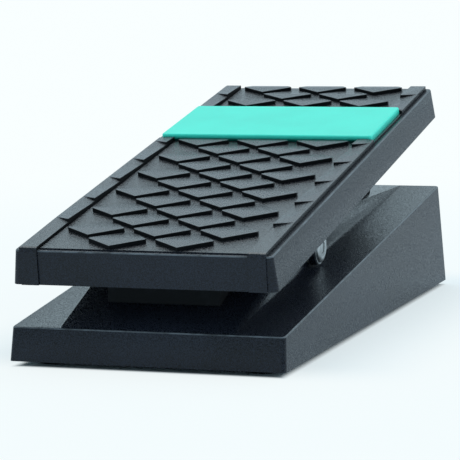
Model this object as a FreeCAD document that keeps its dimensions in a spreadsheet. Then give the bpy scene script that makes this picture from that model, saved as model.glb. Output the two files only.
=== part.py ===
# Rocker foot pedal for an electric instrument, in millimetres.
# A tapered die-cast base carries a treadle that rocks on one axle. A toothed sector under the
# treadle turns the shaft of a potentiometer inside the base, and a foot switch waits under the toe.
# World frame: +X to the player's right, +Y from heel to toe, +Z up. The origin is on the floor,
# under the middle of the pedal at rest.

import FreeCAD
import Part
import Sketcher
import math
import os
import re

doc = FreeCAD.newDocument("rocker_pedal")
sheet = doc.addObject("Spreadsheet::Sheet", "Sizes")

SIZES = {
    # how far joined solids sink into each other, and how far a cut passes an edge
    "weld": 0.5,
    "sliver": 0.01,
    # base casting, measured from its bottom edge
    "base_length": 245.0,
    "base_width": 101.7,
    "heel_rim_height": 12.05,
    "side_draft": 0.048,
    "end_draft": 0.145,
    "base_wall": 2.8,
    "base_corner_round": 1.6,
    "edge_round": 0.6,
    "hump_width": 64.0,
    "hump_height": 41.8,
    "hump_slope": 20.1,
    "ridge_round": 2.0,
    # bottom plate, its screws and the feet
    "plate_thickness": 1.5,
    "plate_gap": 0.3,
    "plate_ledge": 2.0,
    "foot_height": 2.0,
    "foot_radius": 7.0,
    "foot_inset_x": 12.5,
    "foot_inset_y": 14.0,
    "boss_radius": 3.6,
    "boss_inset_x": 11.0,
    "boss_row_heel": 30.0,
    "boss_row_middle": 1.5,
    "boss_row_toe": 43.0,
    "plate_screw_radius": 1.5,
    "plate_screw_head_radius": 2.7,
    "plate_screw_head_height": 1.3,
    "plate_screw_length": 7.5,
    "screw_gap": 0.05,
    # pivot
    "pivot_from_heel": 95.5,
    "pivot_height": 31.6,
    "axle_radius": 3.0,
    "running_gap": 0.05,
    "bushing_radius": 4.5,
    "bushing_flange_radius": 6.4,
    "bushing_flange_thickness": 0.6,
    "lug_side_gap": 0.3,
    "lug_thickness": 2.6,
    "lug_end_radius": 7.0,
    "lug_root_width": 34.0,
    "washer_radius": 6.6,
    "washer_thickness": 0.5,
    "cap_radius": 5.9,
    "cap_height": 1.2,
    # treadle, in its own frame with the axle at the origin
    "rest_tilt": 10.73,
    "toe_down_travel": 11.5,
    "heel_down_travel": 8.5,
    "treadle_length": 240.6,
    "treadle_width": 97.0,
    "treadle_height": 12.8,
    "treadle_heel_reach": 95.0,
    "skirt_above_axle": 13.8,
    "treadle_side_draft": 0.112,
    "treadle_end_draft": 0.05,
    "treadle_wall": 3.0,
    "treadle_corner_round": 2.0,
    "deck_thickness": 3.0,
    "lip_width": 1.6,
    "tread_proud": 0.4,
    "tread_recess": 1.6,
    "cross_rib_depth": 4.0,
    "cross_rib_thickness": 2.4,
    "cross_rib_spacing": 32.0,
    # tread: centre field of V-shaped scales between two shingled rails
    "field_width": 76.0,
    "rail_width": 6.5,
    "seam": 0.5,
    "scale_half_width": 10.5,
    "scale_sweep": 7.8,
    "scale_tip_height": 1.35,
    "scale_edge_height": 1.5,
    "scale_end": 1.2,
    "scale_ramp": 12.0,
    "scale_back_width": 5.0,
    "scale_pitch": 24.25,
    "scale_column_pitch": 12.45,
    "first_scale": 15.0,
    "scale_row_break": 7.3,
    "rail_rise": 0.9,
    "shingle_height": 1.1,
    "shingle_outer_height": 0.35,
    "shingle_pitch": 26.8,
    "shingle_sweep": 4.6,
    "shingle_root": 0.2,
    "shingle_rest": 1.0,
    "first_shingle": 31.0,
    "rail_wrap_thickness": 0.6,
    "rail_wrap_drop": 1.0,
    # badge pad
    "badge_width": 88.0,
    "badge_length": 47.0,
    "badge_height": 2.8,
    "badge_from_heel": 148.0,
    "badge_round": 1.2,
    "badge_top_round": 0.7,
    # toothed sector and pinion
    "gear_module": 1.0,
    "sector_teeth": 120.0,
    "pinion_teeth": 14.0,
    "pressure_angle": 20.0,
    "tooth_addendum": 0.9,
    "tooth_dedendum": 1.25,
    "backlash": 0.16,
    "centre_gap": 0.1,
    "mesh_angle": -4.0,
    "sector_thickness": 3.0,
    "sector_rim": 8.5,
    "sector_centre_x": 2.0,
    "sector_foot_length": 22.0,
    "sector_foot_width": 22.0,
    "sector_foot_thickness": 2.0,
    "sector_pad_height": 3.0,
    "sector_screw_spread": 14.0,
    "sector_hole_spare": 0.3,
    "sector_screw_radius": 1.5,
    "sector_screw_length": 6.0,
    "small_screw_head_radius": 2.7,
    "small_screw_head_height": 1.4,
    "slot_side_gap": 1.8,
    "slot_end_gap": 1.6,
    "pinion_width": 6.0,
    # potentiometer
    "pot_shaft_radius": 3.0,
    "pot_radius": 10.5,
    "pot_depth": 10.5,
    "pot_thread_radius": 4.0,
    "pot_thread_length": 5.5,
    "pot_rim_bevel": 0.8,
    "pot_shaft_seat": 2.0,
    "pot_shaft_overhang": 1.0,
    "tag_length": 5.0,
    "tag_width": 1.6,
    "tag_thickness": 0.8,
    "tag_pitch": 4.0,
    "pot_nut_width": 11.0,
    "pot_nut_height": 2.0,
    "bracket_thickness": 1.5,
    "bracket_face_x": -6.0,
    "bracket_width": 25.0,
    "bracket_drop": 27.0,
    "bracket_flange": 20.0,
    "bracket_screw_spread": 16.0,
    "bracket_screw_inset": 3.6,
    "bracket_screw_radius": 1.5,
    "bracket_screw_length": 4.0,
    # foot switch under the toe
    "switch_from_toe": 31.0,
    "striker_toe_inset": 14.0,
    "switch_thread_radius": 6.0,
    "switch_thread_height": 5.0,
    "switch_case_width": 17.5,
    "switch_case_height": 17.0,
    "switch_nut_width": 15.0,
    "switch_nut_height": 2.2,
    "switch_washer_radius": 8.6,
    "switch_washer_thickness": 0.8,
    "switch_lug_pitch": 4.8,
    "switch_lug_width": 2.0,
    "switch_lug_length": 3.0,
    "button_radius": 4.4,
    "button_bevel": 1.0,
    "button_spare": 1.0,
    "button_travel": 3.0,
    "button_gap": 0.4,
    "button_seat_depth": 7.0,
    "striker_radius": 7.0,
    "striker_thickness": 2.2,
    # stops
    "stop_gap": 0.3,
    "stop_bevel": 1.2,
    "toe_stop_radius": 6.0,
    "toe_stop_spread": 44.0,
    "toe_stop_from_toe": 45.0,
    "heel_stop_width": 42.0,
    "heel_stop_depth": 16.0,
    "heel_stop_from_heel": 20.0,
    # sockets in the toe wall, at right angles to it
    "jack_height": 26.0,
    "jack_inset_x": 20.0,
    "jack_bore_radius": 3.25,
    "jack_thread_radius": 4.75,
    "jack_thread_length": 2.9,
    "jack_bore_depth": 31.0,
    "thread_bevel": 0.4,
    "case_gap": 0.3,
    "jack_case_width": 14.0,
    "jack_case_length": 26.0,
    "jack_nut_width": 13.0,
    "jack_nut_height": 2.0,
    "jack_washer_radius": 7.2,
    "jack_washer_thickness": 0.6,
    "power_bore_radius": 2.85,
    "power_pin_radius": 1.05,
    "power_bore_depth": 9.0,
    "power_thread_radius": 5.8,
    "power_thread_length": 2.4,
    "power_pin_set": 1.0,
    "power_case_width": 14.4,
    "power_case_length": 9.0,
    "power_nut_width": 15.0,
    "power_nut_height": 2.0,
    "hole_gap": 0.1,
    # circuit board
    "board_width": 44.0,
    "board_length": 74.0,
    "board_thickness": 1.6,
    "board_lift": 5.0,
    "board_from_heel": 58.0,
    "board_hole_inset": 4.0,
    "standoff_radius": 2.6,
    "board_screw_radius": 1.2,
    "board_screw_depth": 3.9,
    "board_screw_head_radius": 2.3,
    "board_screw_head_height": 1.4,
}


def fill_sheet():
    for row, (name, value) in enumerate(SIZES.items(), start=1):
        sheet.set(f"A{row}", name)
        sheet.set(f"B{row}", str(value))
        sheet.setAlias(f"B{row}", name)
    doc.recompute()


def bound(text):
    """The expression with each size's name pointed at the sheet."""
    def cell(match):
        word = match.group(0)
        return "Sizes." + word if word in SIZES else word
    return re.sub(r"[a-z][a-z_0-9]*", cell, text)


def number(text):
    """The present value of an expression of sizes."""
    return float(sheet.evalExpression(bound(text)))


# Places that several pieces share, as expressions of the sizes.
HEEL = "(-base_length / 2)"
PIVOT_Y = f"({HEEL} + pivot_from_heel)"
RIM_HEEL_Y = f"({HEEL} + end_draft * heel_rim_height)"
RIM_TOE_Y = "(base_length / 2 - end_draft * hump_height)"
RIM_SLOPE = f"((hump_height - heel_rim_height) / ({RIM_TOE_Y} - {RIM_HEEL_Y}))"
CEILING = "(hump_height - base_wall)"
DECK_TOP = "(skirt_above_axle + treadle_height)"
DECK_UNDER = "(skirt_above_axle + treadle_height - deck_thickness)"
TREADLE_RIM = f"({DECK_TOP} - tread_proud)"
TREADLE_HEEL = "(-treadle_heel_reach)"
TREADLE_TOE = "(treadle_length - treadle_heel_reach)"
LUG_INNER = "(hump_width / 2 + bushing_flange_thickness + lug_side_gap)"
LUG_OUTER = f"({LUG_INNER} + lug_thickness)"
SECTOR_RADIUS = "(gear_module * sector_teeth / 2)"
PINION_RADIUS = "(gear_module * pinion_teeth / 2)"
GEAR_CENTRES = f"({SECTOR_RADIUS} + {PINION_RADIUS} + centre_gap)"
PINION_Y = f"({PIVOT_Y} + {GEAR_CENTRES} * cos(mesh_angle))"
PINION_Z = f"(pivot_height + {GEAR_CENTRES} * sin(mesh_angle))"
SWITCH_Y = f"min(base_length / 2 - switch_from_toe; {PIVOT_Y} + {TREADLE_TOE} - striker_toe_inset)"
TOE_TILT = "(rest_tilt - toe_down_travel)"
HEEL_TILT = "(rest_tilt + heel_down_travel)"
SECTOR_FOOT_TOP = f"({DECK_UNDER} - sector_pad_height)"
SECTOR_FOOT_Y = f"({SECTOR_RADIUS} - sector_rim / 2)"


HEEL_CORNER_U = "(treadle_heel_reach - treadle_end_draft * treadle_height + rail_wrap_thickness)"
HEEL_CORNER_V = f"({DECK_TOP} - rail_wrap_drop)"
HEEL_OVERHANG = (f"({HEEL_CORNER_U} * cos(rest_tilt) + {HEEL_CORNER_V} * sin(rest_tilt)"
                 f" - {PIVOT_Y} - base_length / 2)")
ORIGIN_SHIFT = f"({HEEL_OVERHANG} / 2)"


def rim_height(y_text):
    """Height of the sloping rim over a place along the base."""
    return f"(heel_rim_height + {RIM_SLOPE} * ({y_text} - {RIM_HEEL_Y}))"


def hump_slope_height(y_text):
    """Height of the slope that climbs from the heel edge to the level top."""
    return f"(heel_rim_height + tan(hump_slope) * ({y_text} - {RIM_HEEL_Y}))"


def deck_height(y_text, tilt):
    """Height of the deck's underside over a place on the base, at a tilt of the treadle."""
    return f"(pivot_height + ({DECK_UNDER} + ({y_text} - {PIVOT_Y}) * sin({tilt})) / cos({tilt}))"


# ---------------------------------------------------------------- helpers for bodies

def new_body(label):
    body = doc.addObject("PartDesign::Body", label)
    body.Label = label
    return body


def origin_plane(body, role):
    for feature in body.Origin.OriginFeatures:
        if feature.Role == role:
            return feature
    raise ValueError(role)


def attach(feature, body, role, lift="0"):
    feature.AttachmentSupport = [(origin_plane(body, role), "")]
    feature.MapMode = "FlatFace"
    feature.setExpression("AttachmentOffset.Base.z", bound(lift))


def outline(body, name, role, points, lift="0"):
    """A closed sketch of straight lines, each corner bound to the sheet."""
    sketch = body.newObject("Sketcher::SketchObject", name)
    attach(sketch, body, role, lift)
    corners = [FreeCAD.Vector(number(x), number(y), 0) for x, y in points]
    count = len(points)
    for index in range(count):
        line = Part.LineSegment(corners[index], corners[(index + 1) % count])
        sketch.addGeometry(line)
    for index in range(count):
        joint = Sketcher.Constraint("Coincident", index, 2, (index + 1) % count, 1)
        sketch.addConstraint(joint)
    for index, (x, y) in enumerate(points):
        for kind, text, value in (("DistanceX", x, corners[index].x), ("DistanceY", y, corners[index].y)):
            place = sketch.addConstraint(Sketcher.Constraint(kind, -1, 1, index, 1, value))
            sketch.setExpression(f"Constraints[{place}]", bound(text))
    return sketch


def rectangle(body, name, role, x_low, x_high, y_low, y_high, lift="0"):
    points = [(x_low, y_low), (x_high, y_low), (x_high, y_high), (x_low, y_high)]
    return outline(body, name, role, points, lift)


def circles(body, name, role, centres, radius, lift="0"):
    """A sketch of equal circles, their centres and radius bound to the sheet."""
    sketch = body.newObject("Sketcher::SketchObject", name)
    attach(sketch, body, role, lift)
    for index, (x, y) in enumerate(centres):
        centre = FreeCAD.Vector(number(x), number(y), 0)
        sketch.addGeometry(Part.Circle(centre, FreeCAD.Vector(0, 0, 1), number(radius)))
        size = sketch.addConstraint(Sketcher.Constraint("Radius", index, number(radius)))
        sketch.setExpression(f"Constraints[{size}]", bound(radius))
        for kind, text, value in (("DistanceX", x, centre.x), ("DistanceY", y, centre.y)):
            place = sketch.addConstraint(Sketcher.Constraint(kind, -1, 1, index, 3, value))
            sketch.setExpression(f"Constraints[{place}]", bound(text))
    return sketch


def hexagon(body, name, role, across, x="0", y="0", lift="0"):
    """A hexagon by its width across the flats."""
    points = []
    for corner in range(6):
        angle = 60 * corner + 30
        reach = f"{across} / 2 / cos(30)"
        points.append((f"{x} + {reach} * cos({angle})", f"{y} + {reach} * sin({angle})"))
    return outline(body, name, role, points, lift)


def pad(body, name, sketch, length, both_ways=False, downwards=False):
    feature = body.newObject("PartDesign::Pad", name)
    feature.Profile = sketch
    feature.setExpression("Length", bound(length))
    feature.SideType = "Symmetric" if both_ways else "One side"
    feature.Reversed = downwards
    doc.recompute()
    return feature


def pocket(body, name, sketch, length=None, both_ways=False, along_normal=False):
    """A cut against the sketch's normal, or along it; with no length it goes through."""
    before = body.Shape.Volume
    feature = body.newObject("PartDesign::Pocket", name)
    feature.Profile = sketch
    if length is None:
        feature.Type = "ThroughAll"
    else:
        feature.setExpression("Length", bound(length))
    feature.SideType = "Symmetric" if both_ways else "One side"
    feature.Reversed = along_normal
    doc.recompute()
    if body.Shape.Volume > before - 1e-6:
        raise ValueError(f"{body.Label}: {name} cuts nothing")
    return feature


def mirrored(body, name, features, role):
    feature = body.newObject("PartDesign::Mirrored", name)
    feature.Originals = features
    feature.MirrorPlane = (origin_plane(body, role), [""])
    body.Tip = feature
    doc.recompute()
    return feature


def drafted(body, name, slope, axis, lift="0"):
    """Leans the end faces along an axis inwards as they rise from a level."""
    base = body.Tip
    names = []
    for index, face in enumerate(base.Shape.Faces, start=1):
        if abs(face.normalAt(0, 0).dot(axis)) > 0.9:
            names.append(f"Face{index}")
    level = body.newObject("PartDesign::Plane", name + "_level")
    attach(level, body, "XY_Plane", lift)
    feature = body.newObject("PartDesign::Draft", name)
    feature.Base = (base, names)
    feature.NeutralPlane = (level, [""])
    feature.setExpression("Angle", bound(f"atan({slope})"))
    doc.recompute()
    return feature


def turned(body, name, points):
    """A revolved body about Z from a half profile of (radius, height) corners."""
    sketch = outline(body, name + "_profile", "XZ_Plane", points)
    feature = body.newObject("PartDesign::Revolution", name)
    feature.Profile = sketch
    feature.ReferenceAxis = (sketch, ["V_Axis"])
    feature.Angle = 360
    doc.recompute()
    return feature


def rounded(body, name, radius, wanted):
    """Fillets the edges of the body's tip whose middle passes the test."""
    base = body.Tip
    names = []
    for index, edge in enumerate(base.Shape.Edges, start=1):
        middle = edge.valueAt((edge.FirstParameter + edge.LastParameter) / 2)
        along = edge.tangentAt((edge.FirstParameter + edge.LastParameter) / 2)
        if wanted(middle, along):
            names.append(f"Edge{index}")
    feature = body.newObject("PartDesign::Fillet", name)
    feature.Base = (base, names)
    feature.setExpression("Radius", bound(radius))
    feature.Refine = False
    doc.recompute()
    return feature


def rounded_corners(body, name, radius):
    """Rounds the four upright corners, one after another."""
    for side, end in CORNERS:
        rounded(body, f"{name}_{side}_{end}".replace("-", "minus_"), radius,
                lambda middle, along: abs(along.z) > 0.9 and middle.x * side > 0 and middle.y * end > 0)


def seat(thing, x="0", y="0", z="0", axis=None, angle=None):
    """Binds the placement: a place on the base, its height counted from the casting's bottom edge."""
    if axis is not None:
        thing.Placement = FreeCAD.Placement(FreeCAD.Vector(), FreeCAD.Rotation(axis, 1))
        thing.setExpression("Placement.Rotation.Angle", bound(angle))
    thing.setExpression("Placement.Base.x", bound(x))
    thing.setExpression("Placement.Base.y", bound(f"{y} + {ORIGIN_SHIFT}"))
    thing.setExpression("Placement.Base.z", bound(f"foot_height + {z}"))


def seat_on_treadle(thing):
    """Puts a piece built in the treadle's frame at the rest tilt over the pivot."""
    seat(thing, "0", PIVOT_Y, "pivot_height", FreeCAD.Vector(1, 0, 0), "rest_tilt * 1 deg")


def group(label, pattern, places, axis=None, angle=None):
    """Copies of one body at several places, as separate solids of one sub-part."""
    links = []
    for index, (x, y, z) in enumerate(places):
        link = doc.addObject("App::Link", f"{label}_{index + 1}")
        link.LinkedObject = pattern
        turn = angle[index] if isinstance(angle, list) else angle
        seat(link, x, y, z, axis, turn)
        links.append(link)
    compound = doc.addObject("Part::Compound", label)
    compound.Label = label
    compound.Links = links
    doc.recompute()
    return compound


X_AXIS = FreeCAD.Vector(1, 0, 0)
Y_AXIS = FreeCAD.Vector(0, 1, 0)
CORNERS = [(-1, -1), (1, -1), (-1, 1), (1, 1)]


# ---------------------------------------------------------------- base

BOSS_ROWS = [f"({HEEL} + boss_row_heel)", "boss_row_middle", "(base_length / 2 - boss_row_toe)"]
BOSS_X = "(base_width / 2 - boss_inset_x)"
BOSS_PLACES = [(f"{side}{BOSS_X}", y) for y in BOSS_ROWS for side in ("", "-")]
INNER_X = "(base_width / 2 - base_wall - side_draft * hump_height)"
JACK_X = {"input": "(base_width / 2 - jack_inset_x)", "output": "(jack_inset_x - base_width / 2)",
          "power": "0"}
TOE_LEAN = "atan(end_draft)"
SOCKET_DRILL = 20.0


def toe_wall_y(z_text):
    """Where the toe end's outer face stands at a height."""
    return f"(base_length / 2 - end_draft * ({z_text}))"


def base_outer(body):
    half_x, half_y = "base_width / 2", "base_length / 2"
    foot = rectangle(body, "foot_outline", "XY_Plane", f"-{half_x}", half_x, f"-{half_y}", half_y)
    pad(body, "block", foot, "hump_height")
    drafted(body, "side_lean", "side_draft", X_AXIS)
    drafted(body, "end_lean", "end_draft", Y_AXIS)
    rounded_corners(body, "corner_round", "base_corner_round")
    past_heel, past_toe = f"({HEEL} - 1)", "(base_length / 2 + 1)"
    rim = outline(body, "rim_line", "YZ_Plane", [
        (past_heel, rim_height(past_heel)), (past_toe, rim_height(past_toe)),
        (past_toe, "2 * hump_height"), (past_heel, "2 * hump_height")])
    pocket(body, "rim_cut", rim, None, both_ways=True)
    rounded(body, "rim_rounds", "edge_round", on_rim)
    start, stop = f"({RIM_HEEL_Y} + 2 * edge_round)", f"({RIM_TOE_Y} - 2 * edge_round)"
    ridge = f"({RIM_HEEL_Y} + (hump_height - heel_rim_height) / tan(hump_slope))"
    hump = outline(body, "hump_line", "YZ_Plane", [
        (start, f"{rim_height(start)} - 1"), (start, hump_slope_height(start)), (ridge, "hump_height"),
        (stop, "hump_height"), (stop, f"{rim_height(stop)} - 1")])
    pad(body, "hump", hump, "hump_width", both_ways=True)
    rounded(body, "ridge_round", "ridge_round", on_ridge)


def on_rim(middle, along):
    """The outer edges of the sloping top face."""
    rim = number(rim_height("0")) + number(RIM_SLOPE) * middle.y
    return abs(middle.z - rim) < 0.05


def on_ridge(middle, along):
    """The crest between the hump's slope and its level top."""
    return abs(along.x) > 0.99 and abs(middle.z - number("hump_height")) < 0.01 and middle.y < number("0")


RIM_HOLLOW_TOE = f"(base_length / 2 - base_wall - end_draft * {CEILING})"


def base_hollow(body):
    inner_heel = f"{HEEL} + base_wall"
    inner_toe = "base_length / 2 - base_wall"
    under_rim = "(heel_rim_height - base_wall)"
    cavity = outline(body, "rim_hollow_line", "YZ_Plane", [
        (inner_heel, "-1"), (f"{inner_heel} + end_draft * {under_rim}", under_rim),
        (RIM_HOLLOW_TOE, f"{rim_height(RIM_HOLLOW_TOE)} - base_wall"), (inner_toe, "-1")])
    pocket(body, "rim_hollow", cavity, f"2 * {INNER_X}", both_ways=True)
    start = f"({inner_heel} + base_wall)"
    skin = "base_wall / cos(hump_slope)"
    ridge = f"({RIM_HEEL_Y} + (hump_height - base_wall + {skin} - heel_rim_height) / tan(hump_slope))"
    hump = outline(body, "hump_hollow_line", "YZ_Plane", [
        (start, "2"), (start, f"{hump_slope_height(start)} - {skin}"), (ridge, CEILING),
        (f"{inner_toe} - end_draft * {CEILING}", CEILING), (f"{inner_toe} - end_draft * 2", "2")])
    pocket(body, "hump_hollow", hump, "hump_width - 2 * base_wall", both_ways=True)
    ledge = rectangle(body, "plate_rebate_outline", "XY_Plane",
                      "-base_width / 2 + plate_ledge", "base_width / 2 - plate_ledge",
                      "-base_length / 2 + plate_ledge", "base_length / 2 - plate_ledge")
    pocket(body, "plate_rebate", ledge, "plate_thickness", along_normal=True)


def base_bosses(body):
    for row, y in enumerate(BOSS_ROWS):
        ring = circles(body, f"boss_ring_{row}", "XY_Plane", [(BOSS_X, y), (f"-{BOSS_X}", y)],
                       "boss_radius", "plate_thickness")
        pad(body, f"boss_{row}", ring, f"{rim_height(y)} - base_wall / 2 - plate_thickness")
    drill = circles(body, "boss_holes", "XY_Plane", BOSS_PLACES, "plate_screw_radius + screw_gap",
                    "plate_thickness")
    pocket(body, "boss_drill", drill, "plate_screw_length - plate_thickness + screw_gap", along_normal=True)


def base_openings(body):
    bearing = circles(body, "bushing_circle", "YZ_Plane", [(PIVOT_Y, "pivot_height")], "bushing_radius")
    pocket(body, "bushing_holes", bearing, "hump_width + 2", both_ways=True)
    arm = f"({SECTOR_RADIUS} + gear_module)"
    half = "(sector_thickness / 2 + slot_side_gap)"
    low = f"sqrt(pow({SECTOR_RADIUS} - sector_rim; 2) - pow(hump_height - pivot_height; 2))"
    high = f"sqrt(pow({arm}; 2) - pow({CEILING} - pivot_height; 2))"
    slot = rectangle(body, "sector_slot_outline", "XY_Plane",
                     f"sector_centre_x - {half}", f"sector_centre_x + {half}",
                     f"{PIVOT_Y} + {low} - slot_end_gap", f"{PIVOT_Y} + {high} + slot_end_gap", CEILING)
    pocket(body, "sector_slot", slot, "base_wall + 1", along_normal=True)
    switch = circles(body, "switch_hole_circle", "XY_Plane", [("0", SWITCH_Y)],
                     "switch_thread_radius + hole_gap", CEILING)
    pocket(body, "switch_hole", switch, "base_wall + 1", along_normal=True)
    screws = circles(body, "bracket_hole_circles", "XY_Plane", BRACKET_SCREWS,
                     "bracket_screw_radius + screw_gap", CEILING)
    pocket(body, "bracket_holes", screws, "base_wall + 1", along_normal=True)
    for name, x in JACK_X.items():
        bore = body.newObject("PartDesign::SubtractiveCylinder", f"{name}_hole")
        attach(bore, body, "XY_Plane", f"jack_height - {SOCKET_DRILL / 2} * sin({TOE_LEAN})")
        bore.AttachmentOffset = FreeCAD.Placement(FreeCAD.Vector(), FreeCAD.Rotation(X_AXIS, -90))
        radius = "power_thread_radius" if name == "power" else "jack_thread_radius"
        bore.setExpression("Radius", bound(f"{radius} + hole_gap"))
        bore.Height = SOCKET_DRILL
        bore.setExpression("AttachmentOffset.Base.x", bound(x))
        inside = f"{toe_wall_y('jack_height')} - {SOCKET_DRILL / 2} * cos({TOE_LEAN})"
        bore.setExpression("AttachmentOffset.Base.y", bound(inside))
        bore.setExpression("AttachmentOffset.Rotation.Angle", bound(f"{TOE_LEAN} - 90 deg"))
        doc.recompute()


BRACKET_SCREW_X = "(bracket_face_x - bracket_flange + bracket_screw_inset)"
BRACKET_SCREWS = [(BRACKET_SCREW_X, f"({PINION_Y} - bracket_screw_spread / 2)"),
                  (BRACKET_SCREW_X, f"({PINION_Y} + bracket_screw_spread / 2)")]


def make_base_shell():
    body = new_body("base_shell")
    base_outer(body)
    base_hollow(body)
    base_bosses(body)
    base_openings(body)
    seat(body)
    return body


def make_bottom_plate():
    body = new_body("bottom_plate")
    side, end = "(base_width / 2 - plate_ledge - plate_gap)", "(base_length / 2 - plate_ledge - plate_gap)"
    sheet_outline = rectangle(body, "plate_outline", "XY_Plane", f"-{side}", side, f"-{end}", end)
    pad(body, "plate", sheet_outline, "plate_thickness")
    holes = circles(body, "plate_holes_circles", "XY_Plane", BOSS_PLACES, "plate_screw_radius + screw_gap")
    pocket(body, "plate_holes", holes, None, along_normal=True)
    seat(body)
    return body


def make_bottom_screws():
    screw = new_body("bottom_screw_pattern")
    turned(screw, "screw", [
        ("0", "-plate_screw_head_height"), ("plate_screw_head_radius * 0.8", "-plate_screw_head_height"),
        ("plate_screw_head_radius", "-plate_screw_head_height / 2"), ("plate_screw_head_radius", "0"),
        ("plate_screw_radius", "0"), ("plate_screw_radius", "plate_screw_length"),
        ("0", "plate_screw_length")])
    return group("bottom_screws", screw, [(x, y, "0") for x, y in BOSS_PLACES])


def make_feet():
    foot = new_body("foot_pattern")
    turned(foot, "foot", [
        ("0", "-foot_height"), ("foot_radius * 0.9", "-foot_height"), ("foot_radius", "-foot_height * 0.6"),
        ("foot_radius", "0"), ("0", "0")])
    places = [(f"{x} * (base_width / 2 - foot_inset_x)", f"{y} * (base_length / 2 - foot_inset_y)", "0")
              for x, y in CORNERS]
    return group("rubber_feet", foot, places)


# ---------------------------------------------------------------- pivot

def make_bushings():
    bush = new_body("bushing_pattern")
    turned(bush, "bushing", [
        ("axle_radius + running_gap", "-base_wall"), ("bushing_radius", "-base_wall"),
        ("bushing_radius", "0"), ("bushing_flange_radius", "0"),
        ("bushing_flange_radius", "bushing_flange_thickness"),
        ("axle_radius + running_gap", "bushing_flange_thickness")])
    places = [(f"{sign}hump_width / 2", PIVOT_Y, "pivot_height") for sign in ("", "-")]
    return group("pivot_bushings", bush, places, Y_AXIS, ["90 deg", "-90 deg"])


def make_axle():
    body = new_body("pivot_axle")
    turned(body, "axle", [("0", f"-{LUG_OUTER}"), ("axle_radius", f"-{LUG_OUTER}"),
                          ("axle_radius", LUG_OUTER), ("0", LUG_OUTER)])
    seat(body, "0", PIVOT_Y, "pivot_height", Y_AXIS, "90 deg")
    return body


def make_axle_caps():
    washer = new_body("axle_washer_pattern")
    turned(washer, "washer", [("0", "0"), ("washer_radius", "0"), ("washer_radius", "washer_thickness"),
                              ("0", "washer_thickness")])
    cap = new_body("axle_cap_pattern")
    turned(cap, "cap", [
        ("0", "0"), ("cap_radius", "0"), ("cap_radius", "cap_height * 0.45"),
        ("cap_radius * 0.86", "cap_height * 0.8"), ("cap_radius * 0.6", "cap_height"), ("0", "cap_height")])
    drive = hexagon(cap, "hex_drive_outline", "XY_Plane", "cap_radius * 0.8", lift="cap_height")
    pocket(cap, "hex_drive", drive, "cap_height * 0.5")
    sides = ["90 deg", "-90 deg"]
    washers = [(f"{sign}{LUG_OUTER}", PIVOT_Y, "pivot_height") for sign in ("", "-")]
    caps = [(f"{sign}({LUG_OUTER} + washer_thickness)", PIVOT_Y, "pivot_height") for sign in ("", "-")]
    return [group("axle_washers", washer, washers, Y_AXIS, sides),
            group("axle_caps", cap, caps, Y_AXIS, sides)]


# ---------------------------------------------------------------- treadle

def treadle_block(body):
    half = "treadle_width / 2"
    lower = rectangle(body, "skirt_outline", "XY_Plane", f"-{half}", half, TREADLE_HEEL, TREADLE_TOE,
                      "skirt_above_axle")
    pad(body, "block", lower, "treadle_height - tread_proud")
    drafted(body, "side_lean", "treadle_side_draft", X_AXIS, "skirt_above_axle")
    drafted(body, "end_lean", "treadle_end_draft", Y_AXIS, "skirt_above_axle")
    rounded_corners(body, "corner_round", "treadle_corner_round")
    rounded(body, "treadle_edges", "edge_round",
            lambda middle, along: abs(along.z) < 0.1 and middle.z > number(TREADLE_RIM) - 0.01)
    inside = rectangle(body, "treadle_hollow_outline", "XY_Plane",
                       f"-{half} + treadle_wall", f"{half} - treadle_wall",
                       f"{TREADLE_HEEL} + treadle_wall", f"{TREADLE_TOE} - treadle_wall", "skirt_above_axle")
    pocket(body, "treadle_hollow", inside, "treadle_height - deck_thickness", along_normal=True)


TREAD_HALF = "(field_width / 2 + seam + rail_width)"
RECESS_TOE = f"({TREADLE_TOE} - treadle_end_draft * treadle_height - lip_width)"
RECESS_HEEL = f"({TREADLE_HEEL} + treadle_end_draft * treadle_height + lip_width)"


def treadle_lugs(body):
    root = "lug_root_width / 2"
    cheek = outline(body, "lug_cheek", "YZ_Plane", [
        ("-lug_end_radius", "0"), ("lug_end_radius", "0"),
        (root, f"{DECK_UNDER} + weld"), (f"-{root}", f"{DECK_UNDER} + weld")], LUG_INNER)
    eye = circles(body, "lug_eye", "YZ_Plane", [("0", "0")], "lug_end_radius", LUG_INNER)
    plate = pad(body, "lug_plate", cheek, "lug_thickness")
    end = pad(body, "lug_round", eye, "lug_thickness")
    mirrored(body, "left_lug", [plate, end], "YZ_Plane")
    bore = circles(body, "axle_hole_circle", "YZ_Plane", [("0", "0")], "axle_radius")
    pocket(body, "axle_hole", bore, None, both_ways=True)


CROSS_RIBS = (-1, 3)


def treadle_underside(body):
    pad_sketch = rectangle(body, "sector_pad_outline", "XY_Plane",
                           "sector_centre_x - sector_foot_width / 2",
                           "sector_centre_x + sector_foot_width / 2",
                           f"{SECTOR_FOOT_Y} - sector_foot_length / 2",
                           f"{SECTOR_FOOT_Y} + sector_foot_length / 2",
                           SECTOR_FOOT_TOP)
    pad(body, "sector_pad", pad_sketch, "sector_pad_height + weld")
    drill = circles(body, "sector_screw_circles", "XY_Plane", SECTOR_SCREWS,
                    "sector_screw_radius + screw_gap", SECTOR_FOOT_TOP)
    depth = "sector_screw_length - sector_foot_thickness + sector_hole_spare"
    pocket(body, "sector_screw_holes", drill, depth, along_normal=True)
    for index in CROSS_RIBS:
        y = f"({index} * cross_rib_spacing)"
        bar = rectangle(body, f"cross_rib_outline_{index + 2}", "XY_Plane",
                        "-treadle_width / 2 + treadle_wall - weld", "treadle_width / 2 - treadle_wall + weld",
                        f"{y} - cross_rib_thickness / 2", f"{y} + cross_rib_thickness / 2",
                        f"{DECK_UNDER} - cross_rib_depth")
        pad(body, f"cross_rib_{index + 2}", bar, "cross_rib_depth + weld")


SECTOR_SCREWS = [("(sector_centre_x - sector_screw_spread / 2)", SECTOR_FOOT_Y),
                 ("(sector_centre_x + sector_screw_spread / 2)", SECTOR_FOOT_Y)]


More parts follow.
